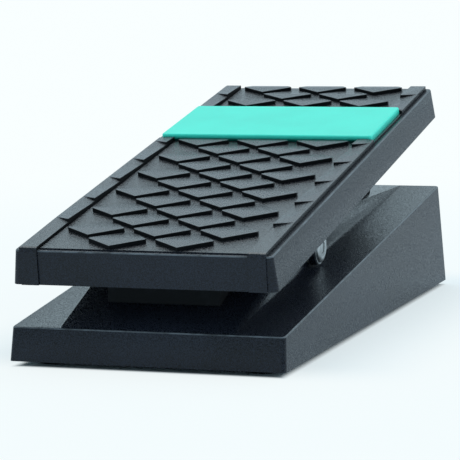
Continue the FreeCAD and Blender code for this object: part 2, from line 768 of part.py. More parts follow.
def make_treadle():
    body = new_body("treadle")
    treadle_block(body)
    side = f"({TREAD_HALF} + seam / 2)"
    recess = rectangle(body, "tread_recess_outline", "XY_Plane", f"-{side}", side,
                       RECESS_HEEL, RECESS_TOE, TREADLE_RIM)
    pocket(body, "tread_recess_cut", recess, "tread_recess - tread_proud")
    treadle_lugs(body)
    treadle_underside(body)
    seat_on_treadle(body)
    return body


def wedge_scale(label, half_width, sweep, tip, edge, ramp):
    """One raised scale: a V front with square ends, then a ramp that narrows as it sinks into the field."""
    body = new_body(label)
    side = outline(body, "side_profile", "YZ_Plane", [
        ("0", "0"), ("0", tip), (sweep, edge), (f"{sweep} + {ramp}", "0")])
    pad(body, "facet_and_ramp", side, f"2 * {half_width}", both_ways=True)
    back = f"{sweep} + {ramp} + sliver"
    for sign, name in (("", "right"), ("-", "left")):
        side = f"{sign}({half_width} + sliver)"
        corner = outline(body, f"{name}_corner_outline", "XY_Plane", [
            ("0", "-sliver"), (side, "-sliver"), (side, back), (f"{sign}scale_back_width / 2", back),
            (f"{sign}{half_width}", f"{sweep} + scale_end"), (f"{sign}{half_width}", sweep)])
        pocket(body, f"{name}_corner", corner, None, along_normal=True)
    return body


def make_tread_field():
    """Plate with staggered columns of scales; past the badge the rows start again a little nearer."""
    body = new_body("field_plate")
    half = "(field_width / 2)"
    plate = rectangle(body, "field_outline", "XY_Plane", f"-{half}", half,
                      f"{RECESS_HEEL} + seam / 2", f"{RECESS_TOE} - seam / 2", f"{DECK_TOP} - tread_recess")
    pad(body, "plate", plate, "tread_recess")
    scale = wedge_scale("scale_pattern", "scale_half_width", "scale_sweep", "scale_tip_height",
                        "scale_edge_height", "scale_ramp")
    copies = []
    badge_low = number("badge_from_heel - treadle_heel_reach")
    badge_high = badge_low + number("badge_length")
    toe_limit = number(f"{RECESS_TOE} - scale_sweep - shingle_rest")
    heel_limit = number(f"{RECESS_HEEL} - seam * 3")
    for column in range(-2, 3):
        stagger = number("scale_pitch") / 2 if column % 2 else 0.0
        row = number(f"{TREADLE_HEEL} + first_scale") - stagger
        while row < toe_limit + number("scale_row_break"):
            y = row - number("scale_row_break") if row > badge_low else row
            under_badge = badge_low - number("scale_sweep") < y < badge_high
            if heel_limit < y < toe_limit and not under_badge:
                place = FreeCAD.Vector(column * number("scale_column_pitch"), y, number(DECK_TOP))
                copies.append(scale.Shape.translated(place))
            row += number("scale_pitch")
    start = number(f"{RECESS_HEEL} + seam / 2")
    ends = Part.makeBox(number("field_width"), number(f"{RECESS_TOE} - seam / 2") - start,
                        number("scale_edge_height + tread_recess"),
                        FreeCAD.Vector(-number(half), start, number(f"{DECK_TOP} - tread_recess")))
    badge_bed = Part.makeBox(number("field_width"), number("badge_length"), number("2 * scale_edge_height"),
                             FreeCAD.Vector(-number(half), badge_low, number(DECK_TOP)))
    whole = body.Shape.multiFuse(copies).common(ends).cut(badge_bed).removeSplitter()
    tread = doc.addObject("Part::Feature", "tread_field")
    tread.Label = "tread_field"
    tread.Shape = whole
    seat_on_treadle(tread)
    return tread


RAIL_TOP = f"({DECK_TOP} + rail_rise)"


def rail_strip(body, sign):
    """The strip along one side, turned down over the heel end."""
    lean = "treadle_end_draft"
    heel_top = f"({TREADLE_HEEL} + {lean} * treadle_height)"
    heel_rim = f"({TREADLE_HEEL} + {lean} * (treadle_height - tread_proud))"
    wrap = "rail_wrap_thickness"
    inner = "field_width / 2 + seam"
    return outline(body, "strip_profile", "YZ_Plane", [
        (f"{RECESS_TOE} - seam / 2", f"{DECK_TOP} - tread_recess"), (f"{RECESS_TOE} - seam / 2", RAIL_TOP),
        (f"{heel_top} + {wrap}", RAIL_TOP),
        (f"{heel_top} - {wrap} * 0.4", f"{RAIL_TOP} - {wrap} / 2"),
        (f"{heel_top} - {wrap}", f"{DECK_TOP} - rail_wrap_drop"),
        (f"{TREADLE_HEEL} - {wrap}", "skirt_above_axle"), (TREADLE_HEEL, "skirt_above_axle"),
        (heel_rim, TREADLE_RIM), (f"{RECESS_HEEL} + seam / 2", TREADLE_RIM),
        (f"{RECESS_HEEL} + seam / 2", f"{DECK_TOP} - tread_recess")], f"{sign}({inner})")


def make_rail(label, sign):
    body = new_body(label + "_strip")
    profile = rail_strip(body, sign)
    pad(body, "strip", profile, "rail_width", downwards=sign == "-")
    shingle = new_body(label + "_shingle")
    side = outline(shingle, "side_profile", "YZ_Plane", [
        ("0", "-shingle_root"), ("0", "shingle_height"), ("shingle_pitch - shingle_rest", "0"),
        ("shingle_pitch - shingle_rest", "-shingle_root")])
    pad(shingle, "ramp", side, "rail_width", downwards=sign == "-")
    outer = f"{sign}(rail_width + sliver)"
    corner = outline(shingle, "corner_outline", "XY_Plane", [
        ("0", "-sliver"), (outer, "-sliver"), (outer, "shingle_sweep")], "-1.5 * shingle_root")
    pocket(shingle, "swept_front", corner, None, along_normal=True)
    shoulder = outline(shingle, "shoulder_outline", "XZ_Plane", [
        ("0", "shingle_height"), (outer, "shingle_outer_height"), (outer, "shingle_height + sliver"),
        ("0", "shingle_height + sliver")], "-shingle_pitch")
    pocket(shingle, "low_shoulder", shoulder, None, both_ways=True)
    copies = []
    inner = number(f"{sign}(field_width / 2 + seam)")
    y = number(f"{TREADLE_HEEL} + first_shingle")
    badge_low = number("badge_from_heel - treadle_heel_reach")
    badge_high = badge_low + number("badge_length")
    while y < number(f"{RECESS_TOE} - shingle_sweep - 2 * shingle_rest"):
        if y < badge_low - number("shingle_sweep") or y > badge_high - number("shingle_sweep"):
            copies.append(shingle.Shape.translated(FreeCAD.Vector(inner, y, number(RAIL_TOP))))
        y += number("shingle_pitch")
    start = number(f"{TREADLE_HEEL} - 5 * rail_wrap_thickness")
    width = number("treadle_width")
    height = number(f"{RAIL_TOP} + rail_width")
    deck = number(DECK_TOP)
    limit = Part.makeBox(width, number(f"{RECESS_TOE} - seam / 2") - start, height,
                         FreeCAD.Vector(-width / 2, start, 0))
    bed = Part.makeBox(width, number("badge_length"), height, FreeCAD.Vector(-width / 2, badge_low, deck))
    whole = body.Shape.multiFuse(copies).common(limit).cut(bed).removeSplitter()
    rail = doc.addObject("Part::Feature", label)
    rail.Label = label
    rail.Shape = whole
    seat_on_treadle(rail)
    return rail


def make_badge():
    """Soft plastic pad across the tread, left plain."""
    body = new_body("badge_pad")
    half = "badge_width / 2"
    low = f"({TREADLE_HEEL} + badge_from_heel)"
    base = rectangle(body, "pad_outline", "XY_Plane", f"-{half}", half,
                     low, f"{low} + badge_length", DECK_TOP)
    pad(body, "slab", base, "badge_height")
    rounded(body, "upright_rounds", "badge_round", lambda middle, along: abs(along.z) > 0.9)
    top = number(f"{DECK_TOP} + badge_height")
    rounded(body, "top_rounds", "badge_top_round",
            lambda middle, along: abs(along.z) < 0.1 and middle.z > top - 0.01)
    seat_on_treadle(body)
    return body


def make_treadle_pads():
    striker = new_body("striker_pad")
    y = f"(({SWITCH_Y} - {PIVOT_Y}) / cos({TOE_TILT}) + {DECK_UNDER} * tan({TOE_TILT}))"
    disc = circles(striker, "striker_circle", "XY_Plane", [("0", y)], "striker_radius", DECK_UNDER)
    pad(striker, "striker", disc, "striker_thickness", downwards=True)
    seat_on_treadle(striker)
    return striker


# ---------------------------------------------------------------- toothed drive

FIRST_TOOTH = -3
LAST_TOOTH = 5
FLANK_STEPS = 4


def involute_tooth(pitch_radius, teeth):
    """Corner points of one gear tooth centred on +X, with involute flanks, and its root radius."""
    pressure = math.radians(number("pressure_angle"))
    base_radius = pitch_radius * math.cos(pressure)
    root = pitch_radius - number("gear_module * tooth_dedendum")
    tip = pitch_radius + number("gear_module * tooth_addendum")
    half_at_pitch = math.pi / (2 * teeth) - number("backlash / 2") / (2 * pitch_radius)
    pitch_roll = math.tan(pressure) - pressure
    flank = []
    start = max(base_radius, root)
    for step in range(FLANK_STEPS + 1):
        radius = start + (tip - start) * step / FLANK_STEPS
        turn = math.acos(min(1.0, base_radius / radius))
        half = half_at_pitch + pitch_roll - (math.tan(turn) - turn)
        flank.append((radius, half))
    if root < start:
        flank.insert(0, (root, flank[0][1]))
    lower = [FreeCAD.Vector(r * math.cos(a), -r * math.sin(a), 0) for r, a in flank]
    upper = [FreeCAD.Vector(r * math.cos(a), r * math.sin(a), 0) for r, a in reversed(flank)]
    return lower + upper, root


def rooted(points, root):
    """The tooth's outline with its two lowest corners sunk into the wheel."""
    sunk = root - number("weld")
    first, last = points[0], points[-1]
    return [FreeCAD.Vector(sunk, first.y, 0)] + points[1:-1] + [FreeCAD.Vector(sunk, last.y, 0)]


def upright_in_yz(shape):
    """Turns a shape drawn in XY so that its X runs along +Y and its Y along +Z."""
    turned_shape = shape.copy()
    turned_shape.Placement = FreeCAD.Placement(FreeCAD.Vector(), FreeCAD.Rotation(
        FreeCAD.Vector(0, 1, 0), FreeCAD.Vector(0, 0, 1), FreeCAD.Vector(1, 0, 0), "ZXY"))
    return turned_shape


def tooth_solid(points, thickness):
    wire = Part.makePolygon(points + [points[0]])
    return Part.Face(wire).extrude(FreeCAD.Vector(0, 0, thickness))


def turned_about_z(shape, degrees):
    copy = shape.copy()
    copy.rotate(FreeCAD.Vector(), FreeCAD.Vector(0, 0, 1), degrees)
    return copy


def make_sector_gear():
    """An arc of external teeth that hangs from a foot under the deck, centred on the axle."""
    module = number("gear_module")
    radius = number(SECTOR_RADIUS)
    teeth = number("sector_teeth")
    step = 360.0 / teeth
    thickness = number("sector_thickness")
    inner = radius - number("sector_rim")
    points, root = involute_tooth(radius, teeth)
    mesh = number("mesh_angle - rest_tilt")
    tooth = tooth_solid(rooted(points, root), thickness)
    low = mesh + (FIRST_TOOTH - 0.5) * step
    foot_top = number(SECTOR_FOOT_TOP)
    high = math.degrees(math.asin((foot_top - number("sector_foot_thickness") / 2) / inner)) + 1.0
    ring = Part.makeCylinder(root, thickness, FreeCAD.Vector(), FreeCAD.Vector(0, 0, 1), high - low)
    bore = Part.makeCylinder(inner, thickness)
    band = turned_about_z(ring.cut(bore), low)
    teeth_solids = []
    for index in range(FIRST_TOOTH, LAST_TOOTH + 1):
        teeth_solids.append(turned_about_z(tooth, mesh + index * step))
    arc = upright_in_yz(band.multiFuse(teeth_solids).removeSplitter())
    arc.translate(FreeCAD.Vector(number("sector_centre_x") - thickness / 2, 0, 0))
    width = number("sector_foot_width")
    length = number("sector_foot_length")
    thick = number("sector_foot_thickness")
    foot = Part.makeBox(width, length, thick, FreeCAD.Vector(
        number("sector_centre_x") - width / 2, number(SECTOR_FOOT_Y) - length / 2, foot_top - thick))
    trim = Part.makeBox(width, 2 * radius, radius, FreeCAD.Vector(
        number("sector_centre_x") - width / 2, 0, foot_top))
    whole = arc.fuse(foot).cut(trim)
    for x_text, y_text in SECTOR_SCREWS:
        hole = Part.makeCylinder(number("sector_screw_radius + screw_gap"), thick * 3,
                                 FreeCAD.Vector(number(x_text), number(y_text), foot_top - 2 * thick))
        whole = whole.cut(hole)
    gear = doc.addObject("Part::Feature", "sector_gear")
    gear.Label = "sector_gear"
    gear.Shape = whole.removeSplitter()
    seat_on_treadle(gear)
    return gear


def small_screw(label, radius, length):
    """Pan-headed screw that points up, its head's bearing face at the origin."""
    screw = new_body(label)
    low = "(-small_screw_head_height)"
    turned(screw, "screw", [
        ("0", low), ("small_screw_head_radius * 0.78", low), ("small_screw_head_radius", f"{low} / 2"),
        ("small_screw_head_radius", "0"), (radius, "0"), (radius, length), ("0", length)])
    return screw


def make_sector_screws():
    screw = small_screw("sector_screw_pattern", "sector_screw_radius", "sector_screw_length")
    shapes = []
    for x_text, y_text in SECTOR_SCREWS:
        seat_height = number(f"{SECTOR_FOOT_TOP} - sector_foot_thickness")
        place = FreeCAD.Vector(number(x_text), number(y_text), seat_height)
        shapes.append(screw.Shape.translated(place))
    screws = doc.addObject("Part::Feature", "sector_screws")
    screws.Label = "sector_screws"
    screws.Shape = Part.makeCompound(shapes)
    seat_on_treadle(screws)
    return screws


def make_pinion():
    """Spur pinion with a tooth gap facing the axle at rest."""
    module = number("gear_module")
    radius = number(PINION_RADIUS)
    teeth = int(number("pinion_teeth"))
    width = number("pinion_width")
    points, root = involute_tooth(radius, teeth)
    tooth = tooth_solid(rooted(points, root), width)
    facing = number("mesh_angle") + 180.0
    gap_centre = facing + 180.0 / teeth
    disc = Part.makeCylinder(root, width)
    solids = [turned_about_z(tooth, gap_centre + index * 360.0 / teeth) for index in range(teeth)]
    bore = Part.makeCylinder(number("pot_shaft_radius"), width)
    wheel = upright_in_yz(disc.multiFuse(solids).cut(bore).removeSplitter())
    wheel.translate(FreeCAD.Vector(number("sector_centre_x") - width / 2, 0, 0))
    pinion = doc.addObject("Part::Feature", "pinion_gear")
    pinion.Label = "pinion_gear"
    pinion.Shape = wheel
    seat(pinion, "0", PINION_Y, PINION_Z)
    return pinion


def make_potentiometer():
    can = new_body("potentiometer")
    back = "(bracket_face_x - bracket_thickness)"
    rear = f"({back} - pot_depth)"
    bore = "pot_shaft_radius + running_gap"
    turned(can, "can", [
        ("0", rear), ("pot_radius - pot_rim_bevel", rear), ("pot_radius", f"{rear} + pot_rim_bevel"),
        ("pot_radius", back), ("pot_thread_radius", back),
        ("pot_thread_radius", f"{back} + pot_thread_length"), (bore, f"{back} + pot_thread_length"),
        (bore, f"{back} - pot_shaft_seat"), ("0", f"{back} - pot_shaft_seat")])
    for index in range(-1, 2):
        middle = f"{index} * tag_pitch"
        tag = rectangle(can, f"tag_outline_{index + 1}", "XY_Plane", "pot_radius - tag_length / 5",
                        "pot_radius + 4 * tag_length / 5", f"{middle} - tag_width / 2",
                        f"{middle} + tag_width / 2", f"{back} - pot_depth * 0.3")
        pad(can, f"solder_tag_{index + 1}", tag, "tag_thickness")
    seat(can, "0", PINION_Y, PINION_Z, Y_AXIS, "90 deg")
    shaft = new_body("pot_shaft")
    inner_end = f"{back} - pot_shaft_seat + running_gap"
    free_end = "sector_centre_x + pinion_width / 2 + pot_shaft_overhang"
    turned(shaft, "shaft", [
        ("0", inner_end), ("pot_shaft_radius", inner_end), ("pot_shaft_radius", free_end), ("0", free_end)])
    seat(shaft, "0", PINION_Y, PINION_Z, Y_AXIS, "90 deg")
    nut = new_body("pot_nut")
    face = hexagon(nut, "nut_outline", "XY_Plane", "pot_nut_width", lift="bracket_face_x")
    pad(nut, "nut", face, "pot_nut_height")
    hole = circles(nut, "nut_hole_circle", "XY_Plane", [("0", "0")], "pot_thread_radius + screw_gap",
                   "bracket_face_x")
    pocket(nut, "nut_hole", hole, None, along_normal=True)
    seat(nut, "0", PINION_Y, PINION_Z, Y_AXIS, "90 deg")
    return [can, shaft, nut]


def make_bracket():
    body = new_body("pot_bracket")
    face, back = "bracket_face_x", "(bracket_face_x - bracket_thickness)"
    side = outline(body, "bracket_profile", "XZ_Plane", [
        (face, CEILING), (face, f"{CEILING} - bracket_drop"), (back, f"{CEILING} - bracket_drop"),
        (back, f"{CEILING} - bracket_thickness"),
        ("bracket_face_x - bracket_flange", f"{CEILING} - bracket_thickness"),
        ("bracket_face_x - bracket_flange", CEILING)])
    pad(body, "bent_strip", side, "bracket_width", both_ways=True)
    hole = circles(body, "pot_hole_circle", "YZ_Plane", [("0", PINION_Z)], "pot_thread_radius + hole_gap",
                   back)
    pocket(body, "pot_hole", hole, "bracket_thickness + 1", along_normal=True)
    places = [(BRACKET_SCREW_X, f"{sign}bracket_screw_spread / 2") for sign in ("-", "")]
    screws = circles(body, "bracket_screw_circles", "XY_Plane", places, "bracket_screw_radius + screw_gap",
                     f"{CEILING} - bracket_thickness")
    pocket(body, "bracket_screw_holes", screws, "bracket_thickness + 1", along_normal=True)
    seat(body, "0", PINION_Y)
    return body


def make_bracket_screws():
    screw = small_screw("bracket_screw_pattern", "bracket_screw_radius", "bracket_screw_length")
    places = [(x, y, f"({CEILING} - bracket_thickness)") for x, y in BRACKET_SCREWS]
    return group("bracket_screws", screw, places)


# ---------------------------------------------------------------- foot switch and stops

BUTTON_TOP = f"({deck_height(SWITCH_Y, TOE_TILT)} - striker_thickness / cos({TOE_TILT}) - button_gap)"
SWITCH_THREAD_TOP = "(hump_height + switch_thread_height)"


def make_toe_switch():
    case = new_body("toe_switch")
    bottom = f"({CEILING} - weld)"
    square = rectangle(case, "case_outline", "XY_Plane", "-switch_case_width / 2", "switch_case_width / 2",
                       "-switch_case_width / 2", "switch_case_width / 2", CEILING)
    pad(case, "case", square, "switch_case_height", downwards=True)
    barrel = circles(case, "thread_circle", "XY_Plane", [("0", "0")], "switch_thread_radius", bottom)
    pad(case, "thread", barrel, f"{SWITCH_THREAD_TOP} - {bottom}")
    bore = circles(case, "button_bore_circle", "XY_Plane", [("0", "0")], "button_radius + running_gap",
                   SWITCH_THREAD_TOP)
    pocket(case, "button_bore", bore, "button_seat_depth + button_travel + button_spare")
    for row in range(3):
        for column in range(3):
            x, y = f"{row - 1} * switch_lug_pitch", f"{column - 1} * switch_lug_pitch"
            tag = rectangle(case, f"lug_outline_{row}{column}", "XY_Plane",
                            f"{x} - switch_lug_width / 2", f"{x} + switch_lug_width / 2",
                            f"{y} - tag_thickness / 2", f"{y} + tag_thickness / 2",
                            f"{CEILING} - switch_case_height - switch_lug_length")
            pad(case, f"solder_lug_{row}{column}", tag, "switch_lug_length + weld")
    seat(case, "0", SWITCH_Y)
    button = new_body("switch_button")
    low = f"{SWITCH_THREAD_TOP} - button_seat_depth"
    turned(button, "button", [
        ("0", low), ("button_radius", low), ("button_radius", f"{BUTTON_TOP} - button_bevel"),
        ("button_radius - button_bevel", BUTTON_TOP), ("0", BUTTON_TOP)])
    seat(button, "0", SWITCH_Y)
    washer = new_body("switch_washer")
    turned(washer, "washer", [
        ("switch_thread_radius + hole_gap", "hump_height"), ("switch_washer_radius", "hump_height"),
        ("switch_washer_radius", "hump_height + switch_washer_thickness"),
        ("switch_thread_radius + hole_gap", "hump_height + switch_washer_thickness")])
    seat(washer, "0", SWITCH_Y)
    nut = new_body("switch_nut")
    nut_base = "(hump_height + switch_washer_thickness)"
    face = hexagon(nut, "nut_outline", "XY_Plane", "switch_nut_width", lift=nut_base)
    pad(nut, "nut", face, "switch_nut_height")
    hole = circles(nut, "nut_hole_circle", "XY_Plane", [("0", "0")], "switch_thread_radius + screw_gap",
                   nut_base)
    pocket(nut, "nut_hole", hole, None, along_normal=True)
    seat(nut, "0", SWITCH_Y)
    return [case, button, washer, nut]


def make_stops():
    bumper = new_body("toe_stop_pattern")
    y = "(base_length / 2 - toe_stop_from_toe)"
    top = f"({deck_height(f'({y} + toe_stop_radius)', TOE_TILT)} - stop_gap)"
    turned(bumper, "bumper", [
        ("0", "hump_height"), ("toe_stop_radius", "hump_height"), ("toe_stop_radius", f"{top} - stop_bevel"),
        ("toe_stop_radius - stop_bevel", top), ("0", top)])
    places = [(f"{sign}toe_stop_spread / 2", y, "0") for sign in ("", "-")]
    toe_stops = group("toe_stops", bumper, places)
    heel = new_body("heel_stop")
    low, high = f"({HEEL} + heel_stop_from_heel)", f"({HEEL} + heel_stop_from_heel + heel_stop_depth)"
    side = outline(heel, "heel_stop_profile", "YZ_Plane", [
        (low, hump_slope_height(low)), (high, hump_slope_height(high)),
        (high, f"{deck_height(high, HEEL_TILT)} - stop_gap"),
        (low, f"{deck_height(low, HEEL_TILT)} - stop_gap")])
    pad(heel, "block", side, "heel_stop_width", both_ways=True)
    rounded(heel, "block_rounds", "edge_round",
            lambda middle, along: abs(along.x) > 0.9 or abs(along.z) > 0.9)
    seat(heel)
    return [toe_stops, heel]


# ---------------------------------------------------------------- sockets

def make_jack(label, x):
    """Quarter-inch socket: threaded barrel through the wall, square case behind it."""
    body = new_body(label)
    behind = "(-base_wall - case_gap)"
    turned(body, "barrel", [
        ("jack_bore_radius", "jack_thread_length"),
        ("jack_thread_radius - thread_bevel", "jack_thread_length"),
        ("jack_thread_radius", "jack_thread_length - thread_bevel"),
        ("jack_thread_radius", f"{behind} - weld"), ("jack_bore_radius", f"{behind} - weld")])
    half = "jack_case_width / 2"
    square = rectangle(body, "case_outline", "XY_Plane", f"-{half}", half, f"-{half}", half, behind)
    pad(body, "case", square, "jack_case_length", downwards=True)
    bore = circles(body, "bore_circle", "XY_Plane", [("0", "0")], "jack_bore_radius", "jack_thread_length")
    pocket(body, "bore", bore, "jack_bore_depth")
    seat(body, x, toe_wall_y("jack_height"), "jack_height", X_AXIS, f"{TOE_LEAN} - 90 deg")
    return body


def make_jack_hardware():
    washer = new_body("jack_washer_pattern")
    turned(washer, "washer", [
        ("jack_thread_radius + hole_gap", "0"), ("jack_washer_radius", "0"),
        ("jack_washer_radius", "jack_washer_thickness"),
        ("jack_thread_radius + hole_gap", "jack_washer_thickness")])
    nut = new_body("jack_nut_pattern")
    face = hexagon(nut, "nut_outline", "XY_Plane", "jack_nut_width", lift="jack_washer_thickness")
    pad(nut, "nut", face, "jack_nut_height")
    hole = circles(nut, "nut_hole_circle", "XY_Plane", [("0", "0")], "jack_thread_radius + screw_gap",
                   "jack_washer_thickness")
    pocket(nut, "nut_hole", hole, None, along_normal=True)
    places = [(JACK_X[name], toe_wall_y("jack_height"), "jack_height") for name in ("input", "output")]
    turn = f"{TOE_LEAN} - 90 deg"
    return [group("jack_washers", washer, places, X_AXIS, turn),
            group("jack_nuts", nut, places, X_AXIS, turn)]


def make_power_jack():
    body = new_body("power_jack")
    back = "(-base_wall - case_gap)"
    end = f"({back} - power_case_length)"
    mouth = "power_thread_length"
    floor_place = f"({mouth} - power_bore_depth)"
    turned(body, "barrel", [
        ("0", end), ("power_thread_radius", end), ("power_thread_radius", mouth),
        ("power_bore_radius", mouth), ("power_bore_radius", floor_place),
        ("power_pin_radius", floor_place), ("power_pin_radius", f"{mouth} - power_pin_set"),
        ("0", f"{mouth} - power_pin_set")])
    half = "power_case_width / 2"
    square = rectangle(body, "case_outline", "XY_Plane", f"-{half}", half, f"-{half}", half, back)
    pad(body, "case", square, "power_case_length", downwards=True)
    annulus = circles(body, "socket_circle", "XY_Plane", [("0", "0")], "power_bore_radius", mouth)
    pin_radius = number("power_pin_radius")
    pin = annulus.addGeometry(Part.Circle(FreeCAD.Vector(), FreeCAD.Vector(0, 0, 1), pin_radius))
    annulus.addConstraint(Sketcher.Constraint("Coincident", pin, 3, -1, 1))
    pin_size = annulus.addConstraint(Sketcher.Constraint("Radius", pin, pin_radius))
    annulus.setExpression(f"Constraints[{pin_size}]", bound("power_pin_radius"))
    pocket(body, "socket", annulus, "power_bore_depth")
    turn = f"{TOE_LEAN} - 90 deg"
    seat(body, "0", toe_wall_y("jack_height"), "jack_height", X_AXIS, turn)
    nut = new_body("power_jack_nut")
    face = hexagon(nut, "nut_outline", "XY_Plane", "power_nut_width")
    pad(nut, "nut", face, "power_nut_height")
    hole = circles(nut, "nut_hole_circle", "XY_Plane", [("0", "0")], "power_thread_radius + screw_gap")
    pocket(nut, "nut_hole", hole, None, along_normal=True)
    seat(nut, "0", toe_wall_y("jack_height"), "jack_height", X_AXIS, turn)
    return [body, nut]


# ---------------------------------------------------------------- circuit board

BOARD_BASE = "(plate_thickness + board_lift)"
BOARD_MIDDLE = f"({HEEL} + board_from_heel + board_length / 2)"
BOARD_HOLES = [(f"{x} * (board_width / 2 - board_hole_inset)",
                f"({BOARD_MIDDLE} + {y} * (board_length / 2 - board_hole_inset))")
               for x, y in CORNERS]


def make_board():
    board = new_body("circuit_board")
    low = f"({HEEL} + board_from_heel)"
    face = rectangle(board, "board_outline", "XY_Plane", "-board_width / 2", "board_width / 2",
                     low, f"{low} + board_length", BOARD_BASE)
    pad(board, "board", face, "board_thickness")
    holes = circles(board, "board_hole_circles", "XY_Plane", BOARD_HOLES, "board_screw_radius + screw_gap",
                    BOARD_BASE)
    pocket(board, "board_holes", holes, None, along_normal=True)
    seat(board)
    post = new_body("standoff_pattern")
    bore, floor_place = "board_screw_radius + screw_gap", "board_lift - board_screw_depth - screw_gap"
    turned(post, "post", [("0", "0"), ("standoff_radius", "0"), ("standoff_radius", "board_lift"),
                          (bore, "board_lift"), (bore, floor_place), ("0", floor_place)])
    posts = group("board_standoffs", post, [(x, y, "plate_thickness") for x, y in BOARD_HOLES])
    screw = new_body("board_screw_pattern")
    turned(screw, "screw", [
        ("0", "-board_screw_depth"), ("board_screw_radius", "-board_screw_depth"),
        ("board_screw_radius", "board_thickness"), ("board_screw_head_radius", "board_thickness"),
        ("board_screw_head_radius", "board_thickness + board_screw_head_height * 0.5"),
        ("board_screw_head_radius * 0.7", "board_thickness + board_screw_head_height"),
        ("0", "board_thickness + board_screw_head_height")])
    screws = group("board_screws", screw, [(x, y, BOARD_BASE) for x, y in BOARD_HOLES])
    return [board, posts, screws]


# Parts on the board, from its middle: (x, y, radius, height) and (x, y, width, length, height).
CAPACITORS = [(-12, 14, 3.2, 7), (-12, 4, 3.2, 7), (10, 18, 2.5, 5), (15, 8, 2.5, 5)]
CHIP_AND_TRIMMERS = [(-2, -20, 6.5, 10, 3.4), (8, -14, 7, 7, 4.5), (8, -25, 7, 7, 4.5)]
CAPACITOR_ROUND = 0.4


def make_board_parts():
    """Capacitors, a chip and two trimmers standing on the board."""
    top = f"({BOARD_BASE} + board_thickness)"
    centre = number(BOARD_MIDDLE)
    shapes = []
    for x, y, radius, height in CAPACITORS:
        can = Part.makeCylinder(radius, height, FreeCAD.Vector(x, centre + y, number(top)))
        shapes.append(can.makeFillet(CAPACITOR_ROUND, [can.Edges[0]]))
    for x, y, width, length, height in CHIP_AND_TRIMMERS:
        shapes.append(Part.makeBox(width, length, height, FreeCAD.Vector(x, centre + y, number(top))))
    parts = doc.addObject("Part::Feature", "board_components")
    parts.Label = "board_components"
    parts.Shape = Part.makeCompound(shapes)
    seat(parts)
    return parts


def build():
    fill_sheet()
    subparts = [make_base_shell(), make_bottom_plate(), make_bottom_screws(), make_feet(), make_bushings(),
                make_axle()]
    subparts += make_axle_caps()
    subparts += [make_treadle(), make_tread_field(), make_rail("left_rail", "-"), make_rail("right_rail", ""),
                 make_badge(), make_treadle_pads(), make_sector_gear(), make_sector_screws(), make_pinion()]
    subparts += make_potentiometer()
    subparts += [make_bracket(), make_bracket_screws()]
    subparts += make_toe_switch()
    subparts += make_stops()
    subparts += [make_jack("input_jack", JACK_X["input"]), make_jack("output_jack", JACK_X["output"])]
    subparts += make_jack_hardware()
    subparts += make_power_jack()
    subparts += make_board()
    subparts.append(make_board_parts())
    return subparts


def check(subparts):
    doc.recompute()
    for thing in doc.Objects:
        if "Invalid" in thing.State or "Error" in thing.State:
            raise ValueError(f"{thing.Name} is {thing.State}")
    for part in subparts:
        if part.Shape.isNull() or not part.Shape.isValid():
            raise ValueError(f"{part.Label} has no valid shape")


def write(subparts):
    os.makedirs("parts", exist_ok=True)
    for part in subparts:
        part.Shape.exportStep(f"parts/{part.Label}.step")


finished = build()
check(finished)
write(finished)
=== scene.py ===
# Looks of the rocker foot pedal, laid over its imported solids. Lengths are in metres.
# World frame: +X to the player's right, +Y from heel to toe, +Z up, the origin on the floor.

import math

import bmesh
import bpy
from mathutils import Matrix, Vector


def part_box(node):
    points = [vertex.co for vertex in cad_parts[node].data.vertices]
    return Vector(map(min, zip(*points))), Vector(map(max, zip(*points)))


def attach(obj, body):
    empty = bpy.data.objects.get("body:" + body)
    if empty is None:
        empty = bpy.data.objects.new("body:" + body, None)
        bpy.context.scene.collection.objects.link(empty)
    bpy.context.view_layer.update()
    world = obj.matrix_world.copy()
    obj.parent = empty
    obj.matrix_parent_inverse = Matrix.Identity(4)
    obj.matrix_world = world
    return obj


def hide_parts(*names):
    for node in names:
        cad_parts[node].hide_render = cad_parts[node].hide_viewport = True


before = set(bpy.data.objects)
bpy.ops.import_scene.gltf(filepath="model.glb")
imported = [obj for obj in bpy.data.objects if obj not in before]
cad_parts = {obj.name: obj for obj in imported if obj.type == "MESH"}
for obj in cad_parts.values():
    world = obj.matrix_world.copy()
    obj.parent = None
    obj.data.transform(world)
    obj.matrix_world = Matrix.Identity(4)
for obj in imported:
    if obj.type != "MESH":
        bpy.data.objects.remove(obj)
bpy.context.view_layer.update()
bpy.ops.object.select_all(action="DESELECT")

# The treadle's axle, how far the treadle is tipped up at rest, and which way its deck faces
PIVOT = Vector((0.0, -0.0257170, 0.0336))
REST_TILT = math.radians(10.73)
WORLD_UP = Vector((0, 0, 1))
DECK_UP = Matrix.Rotation(REST_TILT, 3, "X") @ WORLD_UP

# Levels above the axle, at right angles to the deck
DECK_TOP = 0.0266
# Between these two levels the tread is painted paler, as a highlight on its highest corners
HIGHLIGHT_FROM = DECK_TOP + 0.0009
HIGHLIGHT_TO = DECK_TOP + 0.0017
RAIL_TOP = 0.0275
RAIL_SHOULDER = 0.02785

# Where the rails' outer faces begin, and where the tread turns down over the heel
RAIL_OUTER = 0.0449
HEEL_LINE = -0.1195

# How far the wall at the toe leans in, and where the foot switch's thread starts above its case
TOE_LEAN = math.atan(0.145)
SWITCH_CASE_TOP = 0.0412


# ---------------------------------------------------------------- shader maths

class Signal:
    """A node's output on which Python's operators add Math nodes."""

    def __init__(self, graph, socket):
        self.graph = graph
        self.socket = socket

    def maths(self, operation, *values, clamp=False):
        settings = {"operation": operation, "use_clamp": clamp}
        return self.graph.node("ShaderNodeMath", settings, dict(enumerate(values)))

    def __add__(self, other):
        return self.maths("ADD", self, other)

    __radd__ = __add__

    def __sub__(self, other):
        return self.maths("SUBTRACT", self, other)

    def __rsub__(self, other):
        return self.maths("SUBTRACT", other, self)

    def __mul__(self, other):
        return self.maths("MULTIPLY", self, other)

    __rmul__ = __mul__

    def clamped(self):
        return self.maths("ADD", self, 0.0, clamp=True)

    def size(self):
        return self.maths("ABSOLUTE", self)

    def or_more(self, other):
        return self.maths("MAXIMUM", self, other)


